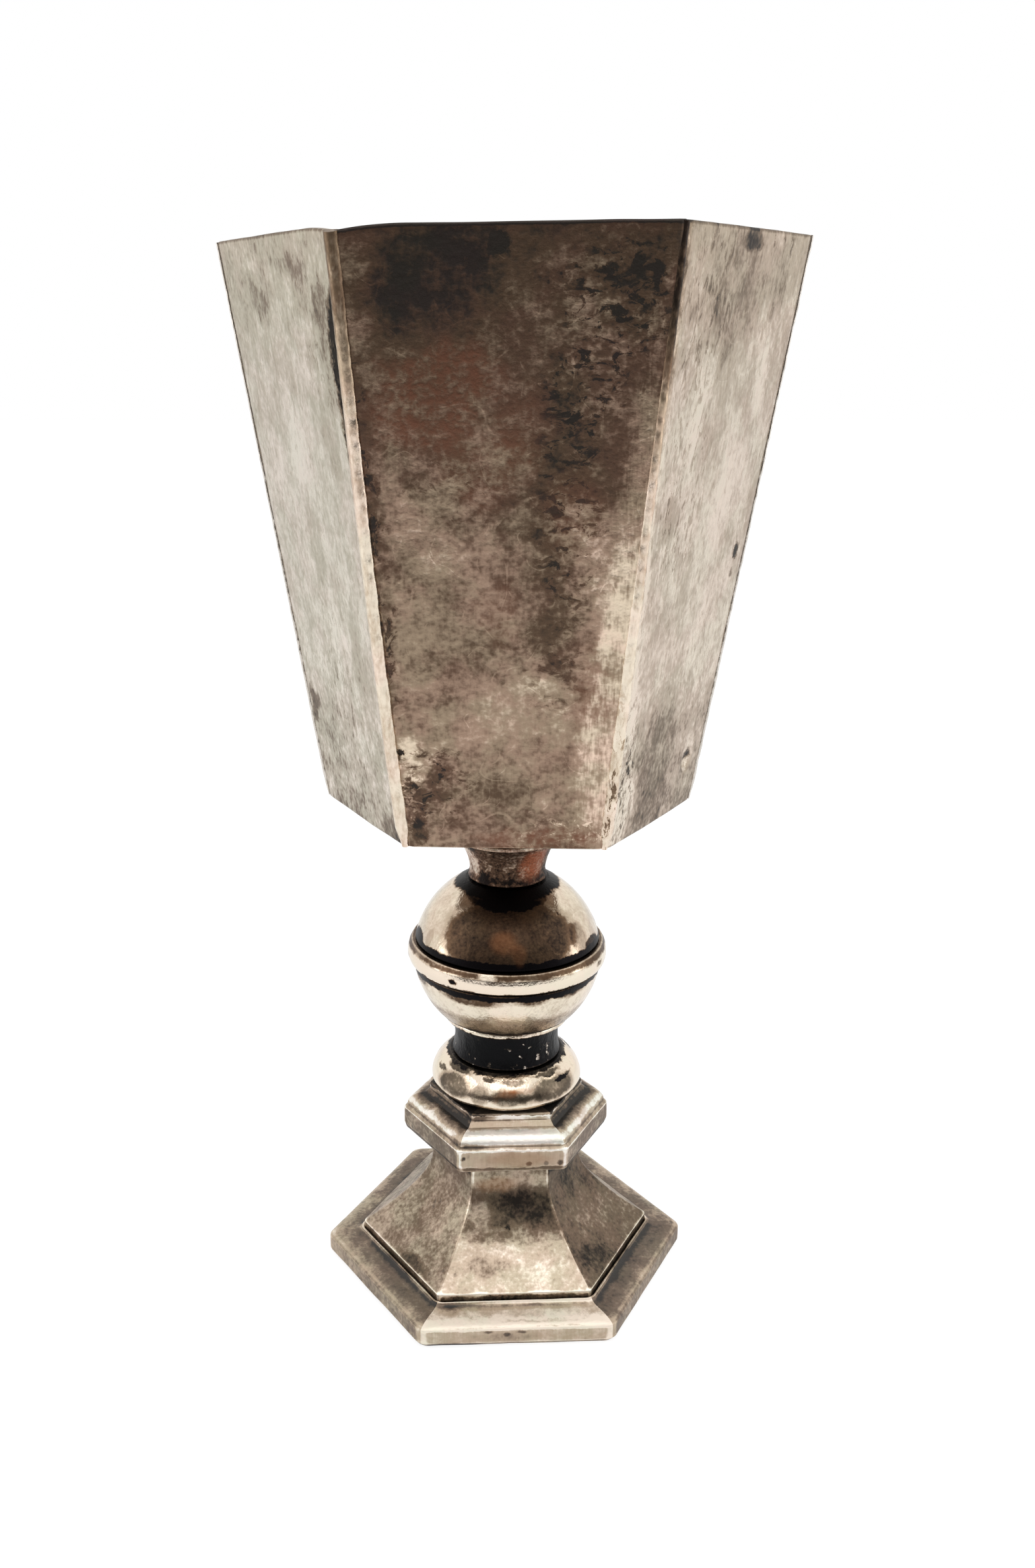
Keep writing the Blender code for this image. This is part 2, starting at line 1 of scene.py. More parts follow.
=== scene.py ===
"""Looks of the hexagonal chalice: its plated bowl, turned stem and cast foot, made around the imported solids.

Metres, +Z up, in the frame of the solids. The bowl's front panel faces -Y.
"""

import math

import bmesh
import bpy
from mathutils import Matrix, Vector


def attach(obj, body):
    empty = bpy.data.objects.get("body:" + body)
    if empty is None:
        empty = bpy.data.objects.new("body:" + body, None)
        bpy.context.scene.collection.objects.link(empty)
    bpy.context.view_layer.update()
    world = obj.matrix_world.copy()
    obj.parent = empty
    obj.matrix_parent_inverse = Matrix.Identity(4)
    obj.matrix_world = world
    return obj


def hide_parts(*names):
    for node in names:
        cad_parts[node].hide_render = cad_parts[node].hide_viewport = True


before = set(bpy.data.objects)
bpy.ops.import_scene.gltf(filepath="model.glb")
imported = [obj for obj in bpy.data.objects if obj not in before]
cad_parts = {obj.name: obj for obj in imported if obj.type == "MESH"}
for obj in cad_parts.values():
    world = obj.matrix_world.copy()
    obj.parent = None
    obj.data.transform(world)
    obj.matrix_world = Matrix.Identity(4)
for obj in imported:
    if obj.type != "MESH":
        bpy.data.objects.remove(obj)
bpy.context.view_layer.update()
scene = bpy.context.scene
scene.view_settings.view_transform = "Standard"


# Studio: a white sweep under soft daylight from the sides and above, with a dim room in front of the chalice.
# The camera stands 24 cm from the stem, at the height of the bowl, and looks down at it.


class Wire:
    """A node's output. Arithmetic on it lays math nodes, or vector math nodes where it is a vector."""

    def __init__(self, bench, socket):
        self.bench, self.socket = bench, socket

    def __add__(self, other):
        return self.bench.maths("ADD", self, other)

    def __sub__(self, other):
        return self.bench.maths("SUBTRACT", self, other)

    def __rsub__(self, other):
        return self.bench.maths("SUBTRACT", other, self)

    def __mul__(self, other):
        return self.bench.maths("MULTIPLY", self, other)

    def __truediv__(self, other):
        return self.bench.maths("DIVIDE", self, other)

    def __rtruediv__(self, other):
        return self.bench.maths("DIVIDE", other, self)

    def __abs__(self):
        return self.bench.maths("ABSOLUTE", self)

    __radd__, __rmul__ = __add__, __mul__

    def fade(self, low, high, start=0.0, end=1.0):
        """Goes smoothly from start to end while this goes from low to high."""
        ends = {"Value": self, "From Min": low, "From Max": high, "To Min": start, "To Max": end}
        return self.bench.node("ShaderNodeMapRange", ends, interpolation_type="SMOOTHSTEP")


class Bench:
    """Lays nodes in one tree, and links a socket wherever a wire is given in place of a value."""

    def __init__(self, tree):
        self.tree = tree

    def fill(self, socket, value):
        if isinstance(value, Wire):
            self.tree.links.new(value.socket, socket)
        elif socket.type == "VECTOR" and isinstance(value, (int, float)):
            socket.default_value = (value,) * 3
        elif socket.type == "RGBA" and len(value) == 3:
            socket.default_value = (*value, 1)
        else:
            socket.default_value = value

    def lay(self, kind, sockets=None, **settings):
        made = self.tree.nodes.new(kind)
        for name, value in settings.items():
            setattr(made, name, value)
        for key, value in (sockets or {}).items():
            self.fill(made.inputs[key], value)
        return made

    def node(self, kind, sockets=None, output=0, **settings):
        """Lays a node, and gives one of its outputs."""
        return Wire(self, self.lay(kind, sockets, **settings).outputs[output])

    def outputs(self, kind, sockets=None, **settings):
        """Lays a node, and gives all its outputs by name."""
        return {out.name: Wire(self, out) for out in self.lay(kind, sockets, **settings).outputs}

    def maths(self, operation, *values):
        vectors = any(isinstance(value, Wire) and value.socket.type == "VECTOR" for value in values)
        kind = "ShaderNodeVectorMath" if vectors else "ShaderNodeMath"
        output = "Value" if operation in ("LENGTH", "DOT_PRODUCT") else 0
        return self.node(kind, dict(enumerate(values)), output, operation=operation)

    def blend(self, share, first, second, way="MIX"):
        inputs = {0: share, 6: first, 7: second}
        return self.node("ShaderNodeMix", inputs, 2, data_type="RGBA", blend_type=way)

    def rays(self):
        """Light Path's camera ray, and its glossy and transmission rays together."""
        path = self.outputs("ShaderNodeLightPath")
        shiny = self.maths("MAXIMUM", path["Is Glossy Ray"], path["Is Transmission Ray"])
        return path["Is Camera Ray"], shiny


def lay_daylight():
    world = bpy.data.worlds.new("daylight")
    world.use_nodes = True
    scene.world = world
    sky = Bench(world.node_tree)
    direction = sky.node("ShaderNodeTexCoord", output="Generated")
    squashed = sky.maths("NORMALIZE", direction * (0.5, 1.0, 2.6))
    towards_room = sky.maths("DOT_PRODUCT", squashed, (0.0, -1.0, 0.0))
    room = sky.blend(towards_room.fade(0.45, 0.80), (1.0, 0.98, 0.95), (0.06, 0.05, 0.045))
    camera, shiny = sky.rays()
    lighting = sky.blend(shiny, (0.72, 0.72, 0.73), room)
    seen = sky.blend(camera, lighting, (1.0, 1.0, 1.0))
    sky.fill(world.node_tree.nodes["Background"].inputs["Color"], seen)


def hang_strip(name, place, width, height, watts):
    """A soft strip lamp that faces the chalice's stem."""
    lamp = bpy.data.lights.new(name, "AREA")
    lamp.shape = "RECTANGLE"
    lamp.size, lamp.size_y, lamp.energy = width, height, watts
    holder = bpy.data.objects.new(name, lamp)
    holder.location = place
    stem = Vector((0, 0, 0.09))
    holder.rotation_euler = (stem - Vector(place)).to_track_quat("-Z", "Y").to_euler()
    scene.collection.objects.link(holder)


def lay_sweep():
    left, right, front, back, level = -1.6, 1.6, -0.55, 2.4, -0.0002
    corners = [(left, front, level), (right, front, level), (right, back, level), (left, back, level)]
    mesh = bpy.data.meshes.new("sweep")
    mesh.from_pydata(corners, [], [(0, 1, 2, 3)])
    paper = bpy.data.materials.new("sweep_paper")
    paper.use_nodes = True
    bench = Bench(paper.node_tree)
    matt = bench.node("ShaderNodeBsdfDiffuse", {"Color": (0.86, 0.86, 0.86)})
    faint = bench.node("ShaderNodeBsdfDiffuse", {"Color": (0.28, 0.28, 0.28)})
    white = bench.node("ShaderNodeEmission", {"Color": (1, 1, 1), "Strength": 0.85})
    seen = bench.node("ShaderNodeAddShader", {0: faint, 1: white})
    camera, shiny = bench.rays()
    share = bench.maths("MAXIMUM", camera, shiny * 0.6)
    mixed = bench.node("ShaderNodeMixShader", {0: share, 1: matt, 2: seen})
    bench.fill(paper.node_tree.nodes["Material Output"].inputs["Surface"], mixed)
    mesh.materials.append(paper)
    sweep = bpy.data.objects.new("sweep", mesh)
    scene.collection.objects.link(sweep)


def set_camera():
    yaw, pitch, roll = math.radians(2.659), math.radians(17.585), math.radians(-0.197)
    forward = Vector((-math.sin(yaw) * math.cos(pitch), math.cos(yaw) * math.cos(pitch), -math.sin(pitch)))
    level = Vector((math.cos(yaw), math.sin(yaw), 0))
    above = level.cross(forward)
    right = math.cos(roll) * level + math.sin(roll) * above
    up = math.cos(roll) * above - math.sin(roll) * level
    camera = bpy.data.cameras.new("camera")
    camera.lens = 33.64
    camera.shift_x = 0.0375
    camera.clip_start, camera.clip_end = 0.01, 20
    holder = bpy.data.objects.new("camera", camera)
    turn = Matrix((right, up, -forward)).transposed()
    holder.matrix_world = Matrix.Translation((0.00266, -0.24051, 0.16858)) @ turn.to_4x4()
    scene.collection.objects.link(holder)
    scene.camera = holder


lay_daylight()
lay_sweep()
set_camera()
hang_strip("left_strip", (-0.42, -0.12, 0.26), 0.25, 0.40, 0.40)
hang_strip("right_strip", (0.42, -0.06, 0.24), 0.25, 0.40, 0.40)
hang_strip("high_strip", (0.05, -0.10, 0.62), 0.30, 0.14, 0.22)
hang_strip("front_strip", (0.02, -0.27, 0.53), 0.50, 0.40, 0.42)


# Bowl: six flat tapered sheets of plated copper alloy, 1.5 mm thick, with their edges dressed by hand.
# Years of handling and polish left the front one brown and copper, and brush marks run up the others.

SIXTH = math.pi / 3
HALF_WIDTH, ACROSS_FLATS = math.tan(SIXTH / 2), math.cos(SIXTH / 2)
BOWL_FOOT, BOWL_RIM = 0.08992, 0.17992
BOWL_FOOT_CORNER, BOWL_RIM_CORNER = 0.0312, 0.0460
SHEET = 0.001515


class Workbench(Bench):
    """A bench for forms and finishes, with places and noise."""

    def axes(self, vector):
        return self.outputs("ShaderNodeSeparateXYZ", {0: vector}).values()

    def joined(self, x, y, z):
        return self.node("ShaderNodeCombineXYZ", {0: x, 1: y, 2: z})

    def noise(self, where, size, detail, rough=0.5, seed=None, output=0, distortion=0.0):
        """A noise whose lumps are about this size. With a seed, each seed has a noise of its own."""
        sockets = {"Vector": where, "Scale": 1.0 / size, "Detail": detail, "Roughness": rough}
        sockets["Distortion"] = distortion
        if seed is None:
            return self.node("ShaderNodeTexNoise", sockets, output)
        return self.node("ShaderNodeTexNoise", {**sockets, "W": seed}, output, noise_dimensions="4D")


def geometry_tree(name, floats, others):
    """An empty geometry tree with these named inputs: the tree, a bench on it, and the inputs."""
    tree = bpy.data.node_groups.new(name, "GeometryNodeTree")
    for label, kind in {"Geometry": "Geometry", **dict.fromkeys(floats, "Float"), **others}.items():
        tree.interface.new_socket(label, in_out="INPUT", socket_type="NodeSocket" + kind)
    tree.interface.new_socket("Geometry", in_out="OUTPUT", socket_type="NodeSocketGeometry")
    bench = Workbench(tree)
    return tree, bench, bench.outputs("NodeGroupInput")


def end_tree(bench, geometry, material, **chosen):
    """The last steps of every tree: its metal, and real geometry that a mesh can keep."""
    coated = bench.node("GeometryNodeSetMaterial", {"Geometry": geometry, "Material": material, **chosen})
    real = bench.node("GeometryNodeRealizeInstances", {"Geometry": coated})
    bench.lay("NodeGroupOutput", {"Geometry": real})


def rippled(bench, geometry, height, size, seed):
    """Moves a surface in and out along its normals, as casting and hand finishing leave it."""
    noise = bench.noise(bench.node("GeometryNodeInputPosition"), size, 2.0, seed=seed)
    offset = bench.node("GeometryNodeInputNormal") * ((noise - 0.5) * (height * 2.0))
    return bench.node("GeometryNodeSetPosition", {"Geometry": geometry, "Offset": offset})


def swept_tree(name, floats, metals):
    """A tree with a grid that has a row for each point of its start mesh, and that row's place."""
    ripple = ("Ripple height", "Ripple size", "Seed")
    others = {"Points": "Int", "Columns": "Int", **dict.fromkeys(metals, "Material")}
    tree, bench, given = geometry_tree(name, (*floats, *ripple), others)
    columns, points = given["Columns"], given["Points"]
    grid = bench.node("GeometryNodeMeshGrid", {"Vertices X": columns, "Vertices Y": points})
    index, place = bench.node("GeometryNodeInputIndex"), bench.node("GeometryNodeInputPosition")
    row = bench.maths("MODULO", index, points)
    share = bench.maths("FLOOR", (index + 0.5) / points) / (columns - 1.0)
    found = {"Geometry": given["Geometry"], "Value": place, "Index": row}
    x, _, z = bench.axes(bench.node("GeometryNodeSampleIndex", found, data_type="FLOAT_VECTOR"))
    return tree, bench, given, grid, share, x, z


def swept(bench, given, grid, place):
    """The grid in its place, its ends merged, with its ripple."""
    placed = bench.node("GeometryNodeSetPosition", {"Geometry": grid, "Position": place})
    closed = bench.node("GeometryNodeMergeByDistance", {"Geometry": placed, "Distance": 0.000002})
    return rippled(bench, closed, given["Ripple height"], given["Ripple size"], given["Seed"])


def about_stem(bench, place, angle):
    return bench.node("ShaderNodeVectorRotate", {"Vector": place, "Angle": angle}, rotation_type="Z_AXIS")


def tapered_sheet_tree():
    floats = ("Foot height", "Rim height", "Foot corner", "Rim corner", "Sheet", "Seam gap", "Edge roll",
              "Roll width", "Turn")
    metals = ("Outside", "Inside")
    tree, bench, given, grid, share, depth, height = swept_tree("tapered_sheet", floats, metals)
    ends = {"Value": height, "From Min": given["Foot height"], "From Max": given["Rim height"],
            "To Min": given["Foot corner"], "To Max": given["Rim corner"]}
    corner = bench.node("ShaderNodeMapRange", ends, clamp=False)
    half = corner * 0.5 - (depth * HALF_WIDTH + given["Seam gap"])
    signed = share * 2.0 - 1.0
    rolled = (half * (1.0 - abs(signed))).fade(0.0, given["Roll width"], 1.0, 0.0) * given["Edge roll"]
    sunk = rolled * (1.0 - depth / given["Sheet"]) + depth
    flat = bench.joined(corner * ACROSS_FLATS - sunk, signed * half, height)
    stored = {"Geometry": grid, "Name": "depth", "Value": depth}
    marked = bench.node("GeometryNodeStoreNamedAttribute", stored, data_type="FLOAT", domain="POINT")
    whole = swept(bench, given, marked, about_stem(bench, flat, given["Turn"]))
    known = bench.node("GeometryNodeInputNamedAttribute", {"Name": "depth"}, data_type="FLOAT")
    is_outer = bench.maths("LESS_THAN", known, given["Sheet"] * 0.6)
    lined = bench.node("GeometryNodeSetMaterial", {"Geometry": whole, "Material": given["Inside"]})
    end_tree(bench, lined, given["Outside"], Selection=is_outer)
    return tree


def eased(outline, radius, step):
    """The closed outline, its corners rounded to the radius and its points no further apart than the step."""
    count, rounded = len(outline), []
    for i, corner in enumerate(outline):
        corner = Vector(corner)
        back, ahead = Vector(outline[i - 1]) - corner, Vector(outline[(i + 1) % count]) - corner
        if back.angle(ahead) > math.radians(165):
            rounded.append(corner)
            continue
        cut = min(radius / math.tan(back.angle(ahead) / 2), back.length * 0.45, ahead.length * 0.45)
        start, end = corner + back.normalized() * cut, corner + ahead.normalized() * cut
        for share in (0.0, 0.25, 0.5, 0.75, 1.0):
            rounded.append(start.lerp(corner, share).lerp(corner.lerp(end, share), share))
    rounded.append(rounded[0])
    points = [rounded[0]]
    for start, end in zip(rounded, rounded[1:]):
        pieces = max(1, math.ceil((end - start).length / step))
        points += [start.lerp(end, n / pieces) for n in range(1, pieces + 1)]
    return points


def mark_ridges(bm, spread=2):
    """Stores how sharply the surface turns at each point: above 0 on an outer edge, below 0 in a groove."""
    bm.normal_update()
    bm.verts.ensure_lookup_table()
    near = [[edge.other_vert(vert).index for edge in vert.link_edges] for vert in bm.verts]
    turn = []
    for vert, others in zip(bm.verts, near):
        slopes = [-vert.normal.dot((bm.verts[n].co - vert.co).normalized()) for n in others]
        turn.append(sum(slopes) / len(slopes))
    for _ in range(spread):
        around = [sum(turn[n] for n in others) / len(others) for others in near]
        turn = [0.5 * own + 0.5 * mean for own, mean in zip(turn, around)]
    layer = bm.verts.layers.float.new("ridge")
    for vert, value in zip(bm.verts, turn):
        vert[layer] = value


def formed(name, outline, tree, sizes):
    """Runs a geometry tree on an outline of (x, z) points, and keeps what it makes as a plain closed mesh."""
    start = bpy.data.meshes.new(name)
    start.from_pydata([(x, 0, z) for x, z in outline], [(i, i + 1) for i in range(len(outline) - 1)], [])
    piece = bpy.data.objects.new(name, start)
    scene.collection.objects.link(piece)
    form = piece.modifiers.new("form", "NODES")
    form.node_group = tree
    sizes = {"Points": len(outline), **sizes}
    for socket in tree.interface.items_tree:
        if socket.in_out == "INPUT" and socket.name in sizes:
            form[socket.identifier] = sizes[socket.name]
    made = bpy.data.meshes.new_from_object(piece.evaluated_get(bpy.context.evaluated_depsgraph_get()))
    piece.modifiers.clear()
    piece.data = made
    bpy.data.meshes.remove(start)
    made.name = name
    bm = bmesh.new()
    bm.from_mesh(made)
    bmesh.ops.holes_fill(bm, edges=[edge for edge in bm.edges if edge.is_boundary])
    bmesh.ops.recalc_face_normals(bm, faces=bm.faces)
    mark_ridges(bm)
    bm.to_mesh(made)
    bm.free()
    made.shade_smooth()
    return piece


def stands_for(piece, node):
    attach(piece, "root")
    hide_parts(node)


def dent(piece, centre, radius, depth):
    """Pushes a shallow hollow into a piece, towards the bowl's axis."""
    centre = Vector(centre)
    inwards = Vector((-centre.x, -centre.y, 0)).normalized()
    for vert in piece.data.vertices:
        share = (vert.co - centre).length / radius
        if share < 1:
            vert.co += inwards * depth * (1 - share * share) ** 2


def lift_ends(piece):
    """Lifts a bowl piece's rim and foot, as they aren't level on the real one, and keeps the flat heights."""
    rise, tilt, furthest, dip = 0.00072, 0.0085, 0.015, 0.0009
    foot_rise, front_rise = 0.00015, 0.00030
    flat_heights = piece.data.attributes.new("flat_height", "FLOAT", "POINT")
    for vert, kept in zip(piece.data.vertices, flat_heights.data):
        kept.value = vert.co.z
        share = max(0.0, (vert.co.z - BOWL_FOOT) / (BOWL_RIM - BOWL_FOOT))
        low_corner = max(0.0, 1 - math.hypot(vert.co.x + 0.0230, vert.co.y + 0.0398) / 0.010)
        vert.co.z += share ** 3 * (rise + tilt * min(vert.co.x, furthest) - dip * low_corner ** 2)
        forward = min(max((-vert.co.y - 0.016) / 0.010, 0.0), 1.0)
        vert.co.z += max(0.0, 1 - share / 0.07) ** 2 * (foot_rise + front_rise * forward)


def shader_group(name, kinds, outputs):
    """An empty shader group: the tree, a bench on it, its inputs, and the sockets that take its outputs."""
    tree = bpy.data.node_groups.new(name, "ShaderNodeTree")
    for kind, labels in kinds.items():
        for label in labels:
            tree.interface.new_socket(label, in_out="INPUT", socket_type="NodeSocket" + kind)
    for label, kind in outputs.items():
        tree.interface.new_socket(label, in_out="OUTPUT", socket_type="NodeSocket" + kind)
    bench = Workbench(tree)
    return tree, bench, bench.outputs("NodeGroupInput"), bench.lay("NodeGroupOutput").inputs


def worn_plate_group():
    """Silver plate that goes from bright to dull, to brown, to black as the tarnish on it grows."""
    kinds = {"Vector": ("Vector",), "Color": ("Bright", "Dull", "Brown", "Black"),
             "Float": ("Tarnish", "Smooth", "Rough", "Cloud", "Mottle", "Fleck", "Upright", "Uneven",
                       "Brushed", "Scratched", "Tinted")}
    outputs = {"Colour": "Color", "Roughness": "Float", "Height": "Float"}
    tree, bench, given, out = shader_group("worn_plate", kinds, outputs)
    place = given["Vector"]
    grain = place * bench.joined(1.0, 1.0, 1.0 / given["Upright"])

    def scratches(offset, size, width):
        """Thin broken lines, where a slow noise passes its middle value."""
        where = place + (offset, 0.0, offset)
        off = abs(bench.noise(where, size, 1.0) - 0.5)
        return off.fade(width * 0.4, width, 1.0, 0.0) * bench.noise(where, size * 0.35, 1.0).fade(0.50, 0.62)

    cloud = bench.noise(place, given["Cloud"], 3.0) - 0.5
    mottle = bench.noise(grain, given["Mottle"], 6.0, 0.62)
    fleck = bench.noise(grain, given["Fleck"], 2.0)
    streak = (bench.noise(place * (1.0, 1.0, 0.06), 0.00035, 2.0) - 0.5) * given["Brushed"]
    spread = cloud * 0.8 + (mottle - 0.5) * 1.4 + (fleck - 0.5) * 0.9
    lines = scratches(0.0, 0.011, 0.006) + scratches(0.5, 0.007, 0.007)
    level = spread * given["Uneven"] + given["Tarnish"] + streak - lines * given["Scratched"]
    dull = bench.blend(level.fade(0.0, 0.36), given["Bright"], given["Dull"])
    brown = bench.blend(level.fade(0.33, 0.67), dull, given["Brown"])
    plain = bench.blend(level.fade(0.64, 1.0), brown, given["Black"])
    patch = bench.noise(place + (0.3, 0.1, 0.2), given["Cloud"] * 0.6, 5.0, 0.62)
    tint = bench.blend(patch.fade(0.40, 0.60), (0.96, 1.0, 0.92), (1.06, 0.985, 0.96))
    bench.fill(out["Colour"], bench.blend(given["Tinted"], plain, tint, "MULTIPLY"))
    bench.fill(out["Roughness"], level.fade(0.0, 1.0, given["Smooth"], given["Rough"]))
    bench.fill(out["Height"], mottle + fleck * 0.5 + streak)
    return tree


def six_sides_group():
    """Where a point lies on a six-sided piece: how far from the nearest corner, and on which side."""
    kinds = {"Vector": ("Vector",), "Float": ("Turn",)}
    tree, bench, given, out = shader_group("six_sides", kinds, {"Corner": "Float", "Side": "Float"})
    x, y, _ = bench.axes(given["Vector"])
    angle = bench.maths("ARCTAN2", y, x) - given["Turn"]
    side = bench.maths("FLOOR", angle / SIXTH)
    off = angle - (side + 0.5) * SIXTH
    radius = bench.maths("SQRT", x * x + y * y)
    half = radius * bench.maths("COSINE", off) * HALF_WIDTH
    bench.fill(out["Corner"], half - abs(radius * bench.maths("SINE", off)))
    bench.fill(out["Side"], bench.maths("MODULO", side + 6.0, 6.0))
    return tree


def stain_group():
    """A soft-edged patch round a centre: 1 inside, 0 outside."""
    kinds = {"Vector": ("Vector", "Centre", "Size"), "Float": ("Soft",)}
    tree, bench, given, out = shader_group("stain", kinds, {"Mask": "Float"})
    away = bench.maths("LENGTH", (given["Vector"] - given["Centre"]) / given["Size"])
    bench.fill(out["Mask"], away.fade(1.0 - given["Soft"], given["Soft"] + 1.0, 1.0, 0.0))
    return tree


WORN_PLATE, SIX_SIDES, STAIN = worn_plate_group(), six_sides_group(), stain_group()


class Metal(Workbench):
    """A metal's material: places on the object, patches, and the worn plate that they feed."""

    def __init__(self, name):
        self.material = bpy.data.materials.new(name)
        self.material.use_nodes = True
        super().__init__(self.material.node_tree)
        self.place = self.node("ShaderNodeTexCoord", output="Object")
        self.x, self.y, self.height = self.axes(self.place)
        self.ridge = self.node("ShaderNodeAttribute", output="Fac", attribute_name="ridge")

    def group(self, tree, **sockets):
        return self.outputs("ShaderNodeGroup", sockets, node_tree=tree)

    def ragged(self, size, reach):
        """The place, wavering by up to the reach, so that a patch on it has a ragged edge."""
        colour = self.noise(self.place, size, 5.0, 0.7, output="Color")
        return self.maths("MULTIPLY_ADD", colour, reach * 2, self.place) - reach

    def stains(self, where, marks, soft=0.45):
        """The sum of patches, each (x, y, z, half width, half height, strength) in millimetres."""
        total = 0.0
        for x, y, z, wide, high, strength in marks:
            centre, size = (x / 1000, y / 1000, z / 1000), (wide / 1000, wide / 1000, high / 1000)
            mask = self.group(STAIN, Vector=where, Centre=centre, Size=size, Soft=soft)["Mask"]
            total = self.maths("MULTIPLY_ADD", mask, strength, total)
        return total

    def blots(self, size, squash=(0.7, 0.7, 1.2)):
        """Crisp flecks, wider than high unless squashed otherwise: 1 on a fleck, 0 between them."""
        return self.noise(self.place * squash, size, 5.0, 0.7, distortion=0.6).fade(0.53, 0.60)

    def levels(self, *stops):
        """A level that goes evenly from stop to stop up the piece, each (height in millimetres, level)."""
        low, high = stops[0][0], stops[-1][0]
        ends = {"Value": self.height, "From Min": low / 1000, "From Max": high / 1000}
        ramp = self.lay("ShaderNodeValToRGB", {0: self.node("ShaderNodeMapRange", ends)})
        marks = ramp.color_ramp.elements
        for n, (at, level) in enumerate(stops):
            share = (at - low) / (high - low)
            stop = marks[0] if n == 0 else marks[-1] if n == len(stops) - 1 else marks.new(share)
            stop.color = (0.5 + level / 2,) * 3 + (1,)
        return Wire(self, ramp.outputs[0]) * 2.0 - 1.0

    def side_levels(self, side, levels):
        """A level for each of the six sides."""
        ramp = self.lay("ShaderNodeValToRGB", {0: (side + 0.5) / 6.0})
        ramp.color_ramp.interpolation = "CONSTANT"
        for n, level in enumerate(levels):
            stop = ramp.color_ramp.elements[n] if n < 2 else ramp.color_ramp.elements.new(n / 6)
            stop.position, stop.color = n / 6, (level, level, level, 1)
        return Wire(self, ramp.outputs[0])

    def least(self, value, most):
        return self.maths("MINIMUM", value, most)

    def worn(self, tarnish, bright, dull, brown, black, **wear):
        """The colour, roughness and height of worn plate with these colours and any unusual wear."""
        usual = {"Smooth": 0.30, "Rough": 0.55, "Cloud": 0.010, "Mottle": 0.0030, "Fleck": 0.0006,
                 "Upright": 1.0, "Uneven": 0.5, "Brushed": 0.1, "Scratched": 0.06, "Tinted": 0.5}
        colours = {"Bright": bright, "Dull": dull, "Brown": brown, "Black": black}
        sockets = {"Vector": self.place, "Tarnish": tarnish, **colours, **usual, **wear}
        return self.group(WORN_PLATE, **sockets).values()

    def finish(self, colour, roughness, height, relief, metallic=1.0):
        inputs = self.tree.nodes["Principled BSDF"].inputs
        inputs["Metallic"].default_value = metallic
        self.fill(inputs["Base Color"], colour)
        self.fill(inputs["Roughness"], roughness)
        bump = {"Height": height, "Distance": relief, "Strength": 1.0}
        self.fill(inputs["Normal"], self.node("ShaderNodeBump", bump))
        return self.material


def bowl_metal(name):
    """A metal whose heights are those from before the rim was lifted."""
    metal = Metal(name)
    metal.height = metal.node("ShaderNodeAttribute", output="Fac", attribute_name="flat_height")
    return metal


def wavy_corner(metal, corner):
    """The places and the distances from a corner that torn edges follow."""
    torn = metal.ragged(0.0020, 0.0018)
    torn_x, _, _ = metal.axes(torn)
    return torn, torn_x, corner + (torn_x - metal.x)


